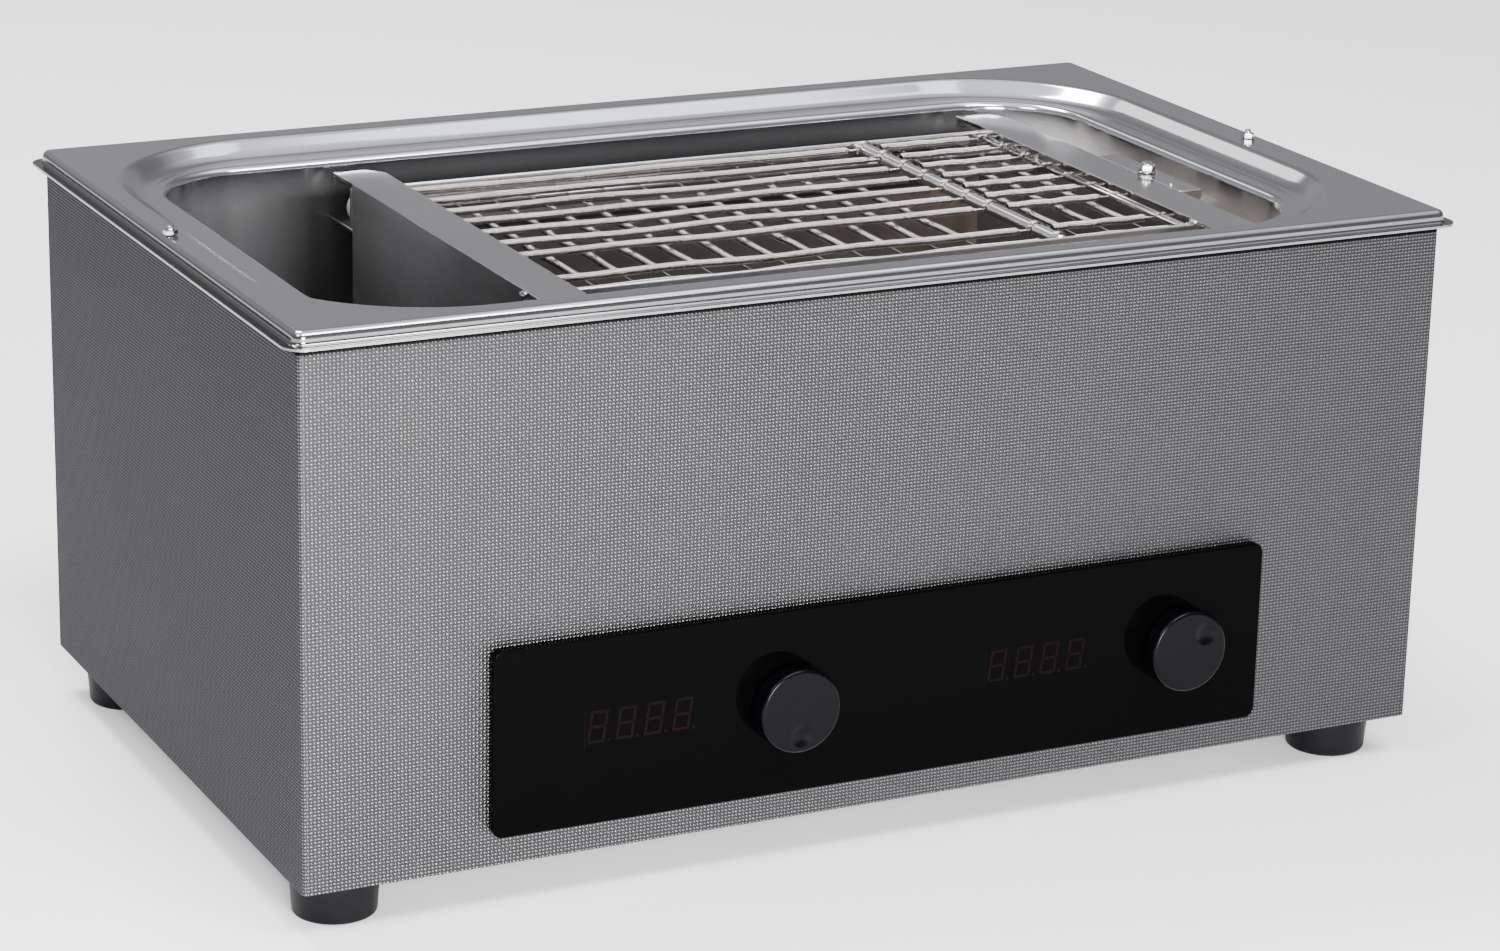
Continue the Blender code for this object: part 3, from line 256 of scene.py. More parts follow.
def tank_steel():
    # Deep-drawn pressing: bright rim above, flanks darkened with painted shade, softer well with upright streaks,
    # painted lighter and warmer towards the right with painted light in the right bay's back corner, and painted shade
    # low down, beside the left end panel and behind the back rail
    rim = (0.60, 0.595, 0.615)
    cool = (0.46, 0.455, 0.47)
    warm = (0.70, 0.61, 0.51)
    painted_light_cream = (0.97, 0.93, 0.87)
    # Colour of the painted shade in the well
    painted_shade = (0.048, 0.047, 0.046)
    paint = Paint("tank_steel", rim, 1.0, 0.14)
    along, across, height = paint.axes()
    deep = paint.span(height, 1.0, 0.0, RIM_Z - 24 * MM, RIM_Z - 10 * MM)
    # Painted shade masks: low down in the well, beside the left end panel, and on the back wall behind the back rail
    low = paint.span(height, 0.75, 0.0, RIM_Z - 120 * MM, RIM_Z - 45 * MM)
    right = paint.span(along, 0.0, 1.0, 0.10, 0.20)
    # Painted light: the right bay's back corner is painted cream
    corner = paint.math("MULTIPLY", paint.span(along, 0.0, 1.0, 0.185, 0.205), paint.span(across, 0.0, 1.0, 0.03, 0.08))
    shaded = paint.math("MULTIPLY", paint.span(along, 0.0, 0.94, -0.20, -0.15), paint.span(along, 1.0, 0.0, -0.13, -0.08))
    middle = paint.math("MULTIPLY", paint.span(along, 0.0, 1.0, -0.15, -0.12), paint.span(along, 1.0, 0.0, 0.185, 0.20))
    upper = paint.span(height, 0.0, 1.0, RIM_Z - 50 * MM, RIM_Z - 38 * MM)
    shade_behind_rail = paint.math("MULTIPLY", paint.math("MULTIPLY", middle, upper), paint.span(across, 0.0, 1.0, 0.112, 0.122))
    shaded = paint.math("MAXIMUM", shaded, shade_behind_rail)
    streaks = paint.noise(70.0, 3.0, (1.0, 1.0, 0.06))
    cloud = paint.noise(5.0, 2.0)
    dust = paint.specks(190.0, 0.045)
    # Painted light: the well is painted lighter and warmer towards the right
    well = paint.tint(paint.span(along, 0.0, 1.0, -0.10, 0.15), cool, warm)
    well = paint.tint(corner, well, painted_light_cream)
    drawn = paint.tint(paint.span(streaks, 0.0, 0.25), well, (0.30, 0.29, 0.28))
    # Painted shade laid over the well where the masks say
    drawn = paint.tint(paint.math("MAXIMUM", low, shaded), drawn, painted_shade)
    base = paint.tint(deep, rim, drawn)
    # Painted shade on the rim's flanks, just below the plateau's edge
    edge = paint.span(height, 1.0, 0.0, RIM_Z - 2.0 * MM, RIM_Z - 0.2 * MM)
    ends = paint.math("GREATER_THAN", paint.math("ABSOLUTE", along), RIM_END.x)
    sides = paint.math("GREATER_THAN", paint.math("ABSOLUTE", paint.math("SUBTRACT", across, CASE_Y)), RIM_END.y)
    flank_shade = paint.math("MAXIMUM", paint.math("MULTIPLY", ends, 0.88), paint.math("MULTIPLY", sides, 0.60))
    base = paint.tint(paint.math("MULTIPLY", edge, flank_shade), base, (0.13, 0.125, 0.125))
    paint.colour(paint.tint(paint.math("MULTIPLY", dust, 0.5), base, (0.95, 0.95, 0.96)))
    soft = paint.math("ADD", 0.13, paint.math("MULTIPLY", deep, 0.14))
    spread = paint.math("MULTIPLY", paint.span(cloud, -0.02, 0.03), paint.math("ADD", deep, 0.4))
    glow = paint.math("ADD", paint.span(right, 0.15, 0.35, 0.0, 1.0), paint.math("MULTIPLY", corner, 0.65))
    milky = paint.math("MULTIPLY", glow, deep)
    paint.rough(paint.math("ADD", paint.math("ADD", soft, spread), paint.math("MULTIPLY", milky, 0.2)))
    paint.feed(paint.span(milky, 1.0, 0.15, 0.0, 1.0), paint.shader.inputs["Metallic"])
    return paint.material


def satin_steel(name, grey, roughness):
    paint = Paint(name, grey, 1.0, roughness)
    grain = paint.noise(900.0, 3.0)
    cloud = paint.noise(30.0, 3.0)
    paint.colour(paint.tint(paint.span(cloud, 0.0, 1.0), shade(grey, 0.85), shade(grey, 1.1)))
    paint.rough(paint.span(grain, roughness - 0.04, roughness + 0.06))
    paint.bump(grain, 0.004 * MM, 0.3)
    return paint.material


def gloss_black():
    # Polished black sheet with fine dust and wiping marks
    black = (0.0007, 0.0007, 0.0008)
    paint = Paint("gloss_black_panel", black, 0.0, 0.10)
    wiped = paint.noise(40.0, 5.0, (1.0, 1.0, 4.0))
    dust = paint.specks(330.0, 0.05)
    paint.colour(paint.tint(paint.math("MULTIPLY", dust, 0.015), black, (0.30, 0.30, 0.31)))
    paint.rough(paint.span(wiped, 0.06, 0.11))
    paint.set("Specular IOR Level", 0.016)
    return paint.material


def moulded(name, colour, roughness, grain, relief=0.03, gloss=0.5):
    # Moulded plastic or rubber: fine grain, slight blotches
    paint = Paint(name, colour, 0.0, roughness)
    fine = paint.noise(grain, 3.0)
    cloud = paint.noise(60.0, 3.0)
    paint.colour(paint.tint(paint.span(cloud, 0.0, 1.0), shade(colour, 0.9), shade(colour, 1.1)))
    paint.rough(paint.span(fine, roughness - 0.04, roughness + 0.05))
    paint.bump(fine, relief * MM, 0.5)
    paint.set("Specular IOR Level", gloss)
    return paint.material


def circuit_green():
    paint = Paint("circuit_green", (0.02, 0.12, 0.05), 0.0, 0.45)
    tracks = paint.noise(120.0, 1.0, (1.0, 1.0, 6.0))
    paint.colour(paint.tint(paint.span(tracks, 0.0, 1.0, 0.5, 0.54), (0.012, 0.09, 0.035), (0.03, 0.17, 0.07)))
    paint.rough(paint.span(paint.noise(300.0), 0.35, 0.55))
    return paint.material


def floor_white():
    paint = Paint("floor_white", (0.92, 0.92, 0.92), 0.0, 0.8)
    paint.colour(paint.tint(paint.noise(3.0), (0.91, 0.91, 0.915), (0.93, 0.93, 0.93)))
    return paint.material


EMBOSSED = embossed_steel("embossed_wrap", True)
EMBOSSED_FLAT = embossed_steel("embossed_flat", False)
TANK_STEEL = tank_steel()
SHEET_STEEL = polished_steel("sheet_steel", (0.66, 0.65, 0.66), 0.08, 0.17, (1.0, 0.15, 1.0), 0.85)
RAIL_STEEL = polished_steel("rail_steel", (0.70, 0.70, 0.72), 0.12, 0.22, (0.1, 1.0, 1.0))
# Painted shade: the tracks get a dark steel colour for the shade down in the well
SHADED_TRACK_STEEL = satin_steel("track_steel", (0.16, 0.155, 0.15), 0.34)
TRAY_STEEL = satin_steel("tray_steel", (0.15, 0.148, 0.15), 0.28)
PLAIN_STEEL = satin_steel("plain_steel_satin", (0.56, 0.56, 0.57), 0.30)
BRIGHT_STEEL = satin_steel("bright_steel", (0.52, 0.52, 0.53), 0.12)
BAR_STEEL = satin_steel("bar_steel", (0.84, 0.82, 0.80), 0.18)
SPRING_WIRE = satin_steel("spring_wire", (0.34, 0.315, 0.295), 0.22)
BRASS = satin_steel("brass_satin", (0.60, 0.45, 0.18), 0.32)
PANEL_BLACK = gloss_black()
KNOB_PLASTIC = moulded("knob_plastic", (0.0008, 0.0008, 0.0014), 0.23, 1600.0, 0.003, 0.08)
INLET_PLASTIC = moulded("inlet_plastic", (0.004, 0.004, 0.0045), 0.38, 1800.0, 0.01, 0.14)
FOOT_RUBBER = moulded("foot_rubber", (0.0035, 0.0035, 0.0045), 0.45, 1500.0, 0.01, 0.10)
DIGIT_TINT = moulded("digit_tint", (0.0026, 0.0008, 0.0015), 0.45, 900.0, 0.002, 0.03)
LENS_DARK = moulded("lens_dark", (0.012, 0.005, 0.008), 0.22, 900.0)
MARK_WHITE = moulded("mark_white", (0.70, 0.70, 0.68), 0.45, 900.0)
NYLON = moulded("nylon", (0.26, 0.255, 0.245), 0.36, 1200.0)
HEATER_MAT = moulded("heater_mat", (0.45, 0.12, 0.04), 0.55, 700.0)
BOARD_GREEN = circuit_green()

SLOT_PAINT = {
    "embossed_steel": EMBOSSED_FLAT,
    "polished_steel": SHEET_STEEL,
    "plain_steel": PLAIN_STEEL,
    "spring_steel": SPRING_WIRE,
    "brass": BRASS,
    "gloss_black": INLET_PLASTIC,
    "knob_black": KNOB_PLASTIC,
    "rubber": FOOT_RUBBER,
    "display_lens": LENS_DARK,
    "circuit_board": BOARD_GREEN,
    "heater_silicone": HEATER_MAT,
    "white_nylon": NYLON,
}


# Mesh helpers

class Form:
    # Points and faces gathered from several shapes, then made into one object
    def __init__(self):
        self.points = []
        self.faces = []

    def ring(self, dots):
        start = len(self.points)
        self.points += [tuple(dot) for dot in dots]
        return list(range(start, len(self.points)))

    def bridge(self, first, second, closed=True):
        if len(first) == 1 and len(second) == 1:
            return
        count = max(len(first), len(second))
        for i in range(count if closed else count - 1):
            j = (i + 1) % count
            if len(first) == 1:
                self.faces.append((first[0], second[j], second[i]))
            elif len(second) == 1:
                self.faces.append((first[i], first[j], second[0]))
            else:
                self.faces.append((first[i], first[j], second[j], second[i]))

    def loft(self, loops, closed=True, caps=False):
        rings = [self.ring(loop) for loop in loops]
        for first, second in zip(rings, rings[1:]):
            self.bridge(first, second, closed)
        if caps:
            self.faces.append(tuple(reversed(rings[0])))
            self.faces.append(tuple(rings[-1]))
        return rings

    def turn(self, profile, centre, way, sides=32):
        # A turned shape from (radius, height) pairs; radius 0 closes it on the axis
        first, second, axis = ALONG[way]
        loops = []
        for radius, height in profile:
            middle = Vector(centre) + axis * height
            if radius < 1e-7:
                loops.append([middle])
                continue
            loop = []
            for i in range(sides):
                angle = 2 * math.pi * i / sides
                loop.append(middle + first * (radius * math.cos(angle)) + second * (radius * math.sin(angle)))
            loops.append(loop)
        return self.loft(loops)

    def prism(self, outline, start, end):
        # A flat outline of points carried from one place to another
        start = Vector(start)
        end = Vector(end)
        self.loft([[Vector(dot) + start for dot in outline], [Vector(dot) + end for dot in outline]], caps=True)

    def block(self, low, high):
        corners = ((low[0], low[1]), (high[0], low[1]), (high[0], high[1]), (low[0], high[1]))
        self.loft([[(x, y, low[2]) for x, y in corners], [(x, y, high[2]) for x, y in corners]], caps=True)

    def tube(self, path, radius, sides=8, caps=True):
        path = [Vector(dot) for dot in path]
        ahead = (path[1] - path[0]).normalized()
        out = ahead.orthogonal().normalized()
        loops = []
        for i, dot in enumerate(path):
            after = path[min(i + 1, len(path) - 1)]
            before = path[max(i - 1, 0)]
            way = (after - before).normalized()
            out = (out - way * out.dot(way)).normalized()
            side = way.cross(out)
            loop = []
            for k in range(sides):
                angle = 2 * math.pi * k / sides
                loop.append(dot + out * (radius * math.cos(angle)) + side * (radius * math.sin(angle)))
            loops.append(loop)
        self.loft(loops, caps=caps)

    def make(self, name, paint, turn_out=True, sharp=35):
        mesh = bpy.data.meshes.new(name)
        mesh.from_pydata(self.points, [], self.faces)
        if turn_out:
            shape = bmesh.new()
            shape.from_mesh(mesh)
            bmesh.ops.recalc_face_normals(shape, faces=shape.faces)
            shape.to_mesh(mesh)
            shape.free()
        mesh.shade_smooth()
        mesh.set_sharp_from_angle(angle=math.radians(sharp))
        obj = bpy.data.objects.new(name, mesh)
        obj.data.materials.append(paint)
        bpy.context.scene.collection.objects.link(obj)
        return obj


def thicken(obj, thickness, offset=0.0):
    step = obj.modifiers.new("sheet", "SOLIDIFY")
    step.thickness = thickness
    step.offset = offset
    step.use_even_offset = True
    return obj


def soften(obj, width, segments=3, angle=35):
    step = obj.modifiers.new("edges", "BEVEL")
    step.width = width
    step.segments = segments
    step.limit_method = "ANGLE"
    step.angle_limit = math.radians(angle)
    step.use_clamp_overlap = True
    return obj


def even_normals(obj):
    step = obj.modifiers.new("normals", "WEIGHTED_NORMAL")
    step.keep_sharp = True
    return obj


def carve(obj, tool):
    step = obj.modifiers.new("carve", "BOOLEAN")
    step.operation = "DIFFERENCE"
    step.solver = "EXACT"
    step.object = tool
    return obj


def settle(obj, *tools):
    # Modifiers go into the mesh, so that the cutters can go
    bpy.context.view_layer.update()
    graph = bpy.context.evaluated_depsgraph_get()
    mesh = bpy.data.meshes.new_from_object(obj.evaluated_get(graph))
    obj.modifiers.clear()
    obj.data = mesh
    mesh.set_sharp_from_angle(angle=math.radians(35))
    for tool in tools:
        bpy.data.objects.remove(tool, do_unlink=True)
    return obj


def cutter(form):
    return form.make("cutter", PLAIN_STEEL)


def piece(obj, body, slot, *nodes):
    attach(obj, body)
    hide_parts(*nodes)
    return obj


def arc(middle, radius, start, end, steps):
    dots = []
    for i in range(steps + 1):
        angle = math.radians(start + (end - start) * i / steps)
        dots.append((middle[0] + radius * math.cos(angle), middle[1] + radius * math.sin(angle)))
    return dots


def rounded(width, height, radius, x=0.0, y=0.0, steps=6):
    dots = []
    for side_x, side_y, start in ((1, 1, 0), (-1, 1, 90), (-1, -1, 180), (1, -1, 270)):
        middle = (x + side_x * (width / 2 - radius), y + side_y * (height / 2 - radius))
        dots += arc(middle, radius, start, start + 90, steps)
    return dots


def softened(node, width, paint, body, slot):
    # A CAD node's own shape with its edges eased
    mesh = frame["nodes"][node].data.copy()
    obj = bpy.data.objects.new(f"{node}_eased", mesh)
    bpy.context.scene.collection.objects.link(obj)
    shape = bmesh.new()
    shape.from_mesh(mesh)
    bmesh.ops.remove_doubles(shape, verts=shape.verts, dist=1e-6)
    bmesh.ops.dissolve_limit(shape, angle_limit=math.radians(1), verts=shape.verts, edges=shape.edges)
    shape.to_mesh(mesh)
    shape.free()
    mesh.materials.clear()
    mesh.materials.append(paint)
    mesh.shade_smooth()
    mesh.set_sharp_from_angle(angle=math.radians(35))
    soften(obj, width, 2)
    return piece(even_normals(obj), body, slot, node)


# Casing and feet

def casing():
    left, right = CASE_LOW.x, CASE_HIGH.x
    path = [(left, CASE_HIGH.y)]
    path += arc((left + CASE_BEND, FRONT_Y + CASE_BEND), CASE_BEND, 180, 270, 10)
    path += arc((right - CASE_BEND, FRONT_Y + CASE_BEND), CASE_BEND, 270, 360, 10)
    path.append((right, CASE_HIGH.y))
    form = Form()
    form.loft([[(x, y, CASE_LOW.z) for x, y in path], [(x, y, CASE_HIGH.z) for x, y in path]], closed=False)
    obj = thicken(form.make("casing_skin", EMBOSSED, turn_out=False), CASE_SHEET, -1.0)
    tools = []
    for node in ("display_left", "display_right"):
        low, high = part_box(node)
        hole = Form()
        hole.block((low.x - 0.3 * MM, FRONT_Y - 2 * MM, low.z - 0.3 * MM),
                   (high.x + 0.3 * MM, FRONT_Y + 4 * MM, high.z + 0.3 * MM))
        tools.append(cutter(hole))
    for node in ("left_knob", "right_knob"):
        low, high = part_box(node)
        hole = Form()
        spot = ((low.x + high.x) / 2, FRONT_Y, (low.z + high.z) / 2)
        hole.turn([(0, -4 * MM), (4.8 * MM, -4 * MM), (4.8 * MM, 4 * MM), (0, 4 * MM)], spot, "front", 24)
        tools.append(cutter(hole))
    for tool in tools:
        carve(obj, tool)
    settle(obj, *tools)
    return piece(even_normals(obj), "housing", "embossed_steel", "casing_wrap")


def back():
    form = Form()
    form.block(BACK_LOW, BACK_HIGH)
    obj = form.make("back_sheet", EMBOSSED_FLAT)
    soften(obj, 0.35 * MM, 2)
    low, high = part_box("power_inlet")
    hole = Form()
    hole.block((low.x + 3.7 * MM, BACK_LOW.y - 5 * MM, low.z + 3.2 * MM),
               (high.x - 3.7 * MM, BACK_HIGH.y + 5 * MM, high.z - 3.2 * MM))
    tool = cutter(hole)
    carve(obj, tool)
    settle(obj, tool)
    piece(even_normals(obj), "housing", "embossed_steel", "back_panel")


def feet():
    for node in ("foot_front_left", "foot_front_right", "foot_back_left", "foot_back_right"):
        low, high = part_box(node)
        top = high.z
        radius = (high.x - low.x) / 2
        base = radius - 2.5 * MM
        waist = top * 0.72
        profile = [(0.0, 7 * MM), (4.2 * MM, 7 * MM), (4.2 * MM, 0.6 * MM), (4.8 * MM, 0.0)]
        profile += arc((base - 0.2 * MM, 1.8 * MM), 1.8 * MM, -90, -6, 5)
        profile += arc((radius - 1.5 * MM, waist), 1.5 * MM, -8, 0, 5)
        profile += arc((radius - 0.8 * MM, top - 0.8 * MM), 0.8 * MM, 0, 90, 5)
        profile.append((0.0, top))
        spot = ((low.x + high.x) / 2, (low.y + high.y) / 2, 0.0)
        form = Form()
        form.turn(profile, spot, "up", 48)
        piece(form.make(f"{node}_rubber", FOOT_RUBBER), "housing", "rubber", node)


# Tank and rim

LIP_W = 4.5 * MM
RIM_STEP = 5.5 * MM
RIM_ROLL = 3 * MM
RECESS_MARGIN = (17 * MM, 15 * MM)
RECESS_R = 76 * MM
RECESS_OUT = 3.8 * MM
EDGE_R = 5.0 * MM
SLOPE = 42
SLOPE_FOOT_R = 12.0 * MM
LEDGE_DROP = 7 * MM
LEDGE = (21 * MM, 22 * MM)
WELL_R = 44 * MM
WELL_ROLL = 3.2 * MM
FLOOR_R = 22 * MM
TANK_X = -4 * MM
PLATEAU = (TANK_HIGH.x - TANK_LOW.x - 2 * LIP_W, TANK_HIGH.y - TANK_LOW.y - 2 * LIP_W)
RECESS = (PLATEAU[0] - 2 * RECESS_MARGIN[0], PLATEAU[1] - 2 * RECESS_MARGIN[1])
WELL = (RECESS[0] - 2 * LEDGE[0], RECESS[1] - 2 * LEDGE[1])
WELL_Z = TANK_LOW.z + TANK_SHEET
WELL_RIGHT = TANK_X + WELL[0] / 2


def rolled(size, radius, start, stop, roll, z, inset):
    # Rings round a rolled edge: outline, growth over it and height
    rings = []
    steps = 8
    for i in range(steps + 1):
        angle = math.radians(start + (stop - start) * i / steps)
        rings.append((size, radius, roll * math.cos(angle) + inset, z + roll * math.sin(angle)))
    return rings


def slope_foot(edge):
    # Concave round between the slope under the rim and the ledge
    lean = math.radians(SLOPE)
    size, radius, grow, z = edge
    centre_z = RIM_Z - LEDGE_DROP + SLOPE_FOOT_R
    foot_z = centre_z - SLOPE_FOOT_R * math.cos(lean)
    foot = grow - (z - foot_z) / math.tan(lean)
    centre = foot - SLOPE_FOOT_R * math.sin(lean)
    return rolled(size, radius, SLOPE - 90, -90, SLOPE_FOOT_R, centre_z, centre)


def tank_rings():
    lip_z = RIM_Z - RIM_STEP
    ledge_z = RIM_Z - LEDGE_DROP
    corner = 4.5 * MM
    rings = [(PLATEAU, corner, LIP_W, lip_z), (PLATEAU, corner, LIP_W - 0.4 * MM, lip_z)]
    rings += [(PLATEAU, corner, 2.0 * MM, lip_z)]
    for i in range(6):
        angle = math.radians(90 * i / 5)
        rings.append((PLATEAU, corner, 1.5 * MM * (1 - math.sin(angle)), lip_z + 1.5 * MM * (1 - math.cos(angle))))
    rings += rolled(PLATEAU, corner, 0, 90, RIM_ROLL, RIM_Z - RIM_ROLL, -RIM_ROLL)
    rings.append((PLATEAU, corner, -RIM_ROLL - 0.5 * MM, RIM_Z))
    split = len(rings)
    rings.append((RECESS, RECESS_R, RECESS_OUT + 0.5 * MM, RIM_Z))
    rings += rolled(RECESS, RECESS_R, 90, 90 + SLOPE, EDGE_R, RIM_Z - EDGE_R, RECESS_OUT)
    rings += slope_foot(rings[-1])
    rings += rolled(WELL, WELL_R, 90, 180, WELL_ROLL, ledge_z - WELL_ROLL, WELL_ROLL)
    rings += rolled(WELL, WELL_R, 0, -90, FLOOR_R, WELL_Z + FLOOR_R, -FLOOR_R)
    return rings, split


def tank():
    rings, split = tank_rings()
    loops = []
    for number, (size, radius, grow, z) in enumerate(rings):
        x, y = (0.0, CASE_Y) if number < split else (TANK_X, WELL_Y)
        bend = max(radius + grow, 1.0 * MM)
        loop = rounded(size[0] + 2 * grow, size[1] + 2 * grow, bend, x, y, 16)
        loops.append([(dot_x, dot_y, z) for dot_x, dot_y in loop])
    form = Form()
    made = form.loft(loops)
    form.faces.append(tuple(made[-1]))
    obj = thicken(form.make("tank_pressing", TANK_STEEL, turn_out=False), TANK_SHEET, -1.0)
    low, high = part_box("rod_bush")
    hole = Form()
    spot = (WELL_RIGHT, (low.y + high.y) / 2, (low.z + high.z) / 2)
    hole.turn([(0, -9 * MM), (6.8 * MM, -9 * MM), (6.8 * MM, 9 * MM), (0, 9 * MM)], spot, "x", 24)
    tool = cutter(hole)
    carve(obj, tool)
    settle(obj, tool)
    return piece(even_normals(obj), "housing", "polished_steel", "tank")


NUT_TURN = math.radians(33)


def nut(form, spot, radius, height):
    # Hexagon with its top and bottom corners taken off
    loops = []
    for reach, z in ((0.92, 0.0), (1.0, 0.12), (1.0, 0.86), (0.92, 1.0), (0.7, 1.0)):
        angles = [NUT_TURN + math.radians(60 * i) for i in range(6)]
        loops.append([(spot[0] + radius * reach * math.cos(a), spot[1] + radius * reach * math.sin(a),
                       spot[2] + height * z) for a in angles])
    form.loft(loops, caps=True)


def thread(form, spot, radius, start, end, pitch):
    # Ringed stud end with a rounded tip
    depth = pitch * 0.35
    profile = [(0.0, start), (radius - depth, start)]
    count = int((end - start) / pitch)
    for i in range(count):
        z = start + i * pitch
        profile += [(radius, z + pitch * 0.5), (radius - depth, z + pitch)]
    profile[-1] = (radius - depth, end - 0.1 * MM)
    profile += [(radius - 2 * depth, end), (0.0, end)]
    form.turn(profile, spot, "up", 20)


def studs():
    nut_h = 2.4 * MM
    for node in ("rim_stud_left", "rim_stud_right"):
        low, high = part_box(node)
        spot = ((low.x + high.x) / 2, (low.y + high.y) / 2, low.z)
        form = Form()
        nut(form, spot, (high.x - low.x) / 2, nut_h - GAP)
        thread(form, spot, 1.5 * MM, nut_h - 0.5 * MM, high.z - low.z, 0.5 * MM)
        piece(form.make(f"{node}_nut", BRIGHT_STEEL), "housing", "plain_steel", node)


# Control panel

def panel():
    width = PANEL_HIGH.x - PANEL_LOW.x
    height = PANEL_HIGH.z - PANEL_LOW.z
    outline = rounded(width, height, 4.5 * MM, (PANEL_LOW.x + PANEL_HIGH.x) / 2, (PANEL_LOW.z + PANEL_HIGH.z) / 2, 8)
    form = Form()
    form.loft([[(x, FACE_Y, z) for x, z in outline], [(x, PANEL_HIGH.y, z) for x, z in outline]], caps=True)
    obj = soften(form.make("panel_plate", PANEL_BLACK), 0.7 * MM, 4)
    tools = []
    for node in ("display_left", "display_right"):
        low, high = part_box(node)
        hole = Form()
        hole.block((low.x - 0.3 * MM, FACE_Y + 0.45 * MM, low.z - 0.3 * MM),
                   (high.x + 0.3 * MM, FACE_Y + 9 * MM, high.z + 0.3 * MM))
        tools.append(cutter(hole))
    for node in ("left_knob", "right_knob"):
        low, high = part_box(node)
        hole = Form()
        spot = ((low.x + high.x) / 2, FACE_Y, (low.z + high.z) / 2)
        hole.turn([(0, -9 * MM), (4.8 * MM, -9 * MM), (4.8 * MM, 9 * MM), (0, 9 * MM)], spot, "front", 24)
        tools.append(cutter(hole))
    for tool in tools:
        carve(obj, tool)
    settle(obj, *tools)
    return piece(even_normals(obj), "housing", "gloss_black", "control_panel")


DIGIT_H = 14.0 * MM
DIGIT_W = 7.9 * MM
DIGIT_PITCH = 12.7 * MM
DIGIT_SLANT = math.tan(math.radians(8))
SEGMENT_T = 1.25 * MM
SEGMENT_GAP = 0.12 * MM
DIGIT_RISE = 0.8 * MM
PROUD = 0.10 * MM


def segment(form, start, end, spot):
    # One bar of a digit: square at the outer corners, cut back where bars meet, pointed across the middle
    half = SEGMENT_T / 2
    way = (Vector(end) - Vector(start)).normalized()
    out = Vector((-way.y, way.x)) * half
    first = Vector(start) + way * SEGMENT_GAP
    last = Vector(end) - way * SEGMENT_GAP
    tip = way * half
    outline = [last - tip - out, first + tip - out]
    if start[1] == end[1] == DIGIT_H / 2:
        outline += [first, first + tip + out, last - tip + out, last]
    else:
        outline.append(first + out - (tip if start[1] != DIGIT_H / 2 else Vector((0, 0))))
        outline.append(last + out + (tip if end[1] != DIGIT_H / 2 else Vector((0, 0))))
    dots = []
    for dot in outline:
        x = spot.x + dot.x + (dot.y - DIGIT_H / 2) * DIGIT_SLANT
        dots.append((x, 0.0, spot.z + dot.y))
    form.prism(dots, (0, FACE_Y + 0.02 * MM, 0), (0, FACE_Y - PROUD, 0))


def digits():
    inset = SEGMENT_T / 2
    left, right = inset, DIGIT_W - inset
    low, middle, high = inset, DIGIT_H / 2, DIGIT_H - inset
    bars = (
        ((left, high), (right, high)),
        ((right, high), (right, middle)),
        ((right, middle), (right, low)),
        ((right, low), (left, low)),
        ((left, low), (left, middle)),
        ((left, middle), (left, high)),
        ((left, middle), (right, middle)),
    )
    for node in ("display_left", "display_right"):
        box_low, box_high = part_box(node)
        middle_x = (box_low.x + box_high.x) / 2
        start = middle_x - (3 * DIGIT_PITCH + DIGIT_W) / 2
        base = (box_low.z + box_high.z) / 2 - DIGIT_H / 2 + DIGIT_RISE
        form = Form()
        for number in range(4):
            spot = Vector((start + number * DIGIT_PITCH, 0.0, base))
            for first, last in bars:
                segment(form, first, last, spot)
            point = spot + Vector((DIGIT_W + 1.1 * MM, FACE_Y, inset * 0.9))
            form.turn([(0, -0.02 * MM), (0.75 * MM, -0.02 * MM), (0.75 * MM, PROUD), (0, PROUD)], point, "front", 12)
        edge = box_low.x + 0.2 * MM
        form.block((edge, FACE_Y - PROUD, box_low.z + 1 * MM), (edge + 0.35 * MM, FACE_Y + 0.02 * MM, box_high.z - 1 * MM))
        obj = form.make(f"{node}_digits", DIGIT_TINT)
        piece(obj, "housing", "display_lens")


KNOB_GAP = 4.6 * MM
KNOB_EDGE = 1.7 * MM
DIMPLE_R = 5.6 * MM
DIMPLE_DEPTH = 1.1 * MM
DIMPLE_OFF = 10.5 * MM


def dimple_depth(x, z):
    away = math.hypot(x, z) / DIMPLE_R
    if away >= 1.0:
        return 0.0
    return DIMPLE_DEPTH * (1 - away * away) ** 1.3


def knob(node, body, direction):
    low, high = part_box(node)
    radius = (high.x - low.x) / 2
    middle = Vector(((low.x + high.x) / 2, FACE_Y, (low.z + high.z) / 2))
    face = FACE_Y - low.y
    out_x = DIMPLE_OFF * math.cos(math.radians(direction))
    out_z = DIMPLE_OFF * math.sin(math.radians(direction))
    sides = 96
    hub = 8 * MM
    bore = 3.3 * MM
    profile = [(bore, 0.8 * MM), (hub, 0.8 * MM), (hub, KNOB_GAP), (radius - 0.6 * MM, KNOB_GAP)]
    profile += [(radius, KNOB_GAP + 0.6 * MM)]
    profile += arc((radius - KNOB_EDGE, face - KNOB_EDGE), KNOB_EDGE, 0, 90, 8)
    rings = 40
    flat = radius - KNOB_EDGE
    profile += [(flat * (1 - i / rings), face) for i in range(1, rings + 1)]
    first, second, axis = ALONG["front"]
    loops = []
    for reach, height in profile:
        loop = []
        for i in range(sides if reach > 1e-7 else 1):
            angle = 2 * math.pi * i / sides
            x = reach * math.cos(angle)
            z = reach * math.sin(angle)
            sunk = dimple_depth(x - out_x, z - out_z) if height >= face - 1e-7 else 0.0
            loop.append(middle + first * x + second * z + axis * (height - sunk))
        loops.append(loop)
    form = Form()
    form.loft(loops)
    deep = KNOB_GAP + 5 * MM
    inner = [(bore, 0.8 * MM), (bore, deep), (0.0, deep)]
    form.turn(inner, middle, "front", sides)
    obj = form.make(f"{node}_cap", KNOB_PLASTIC)
    return piece(obj, body, "knob_black", node)


# Rocker marks

MARK_R = 1.7 * MM
MARK_T = 0.55 * MM
MARK_PROUD = 0.04 * MM


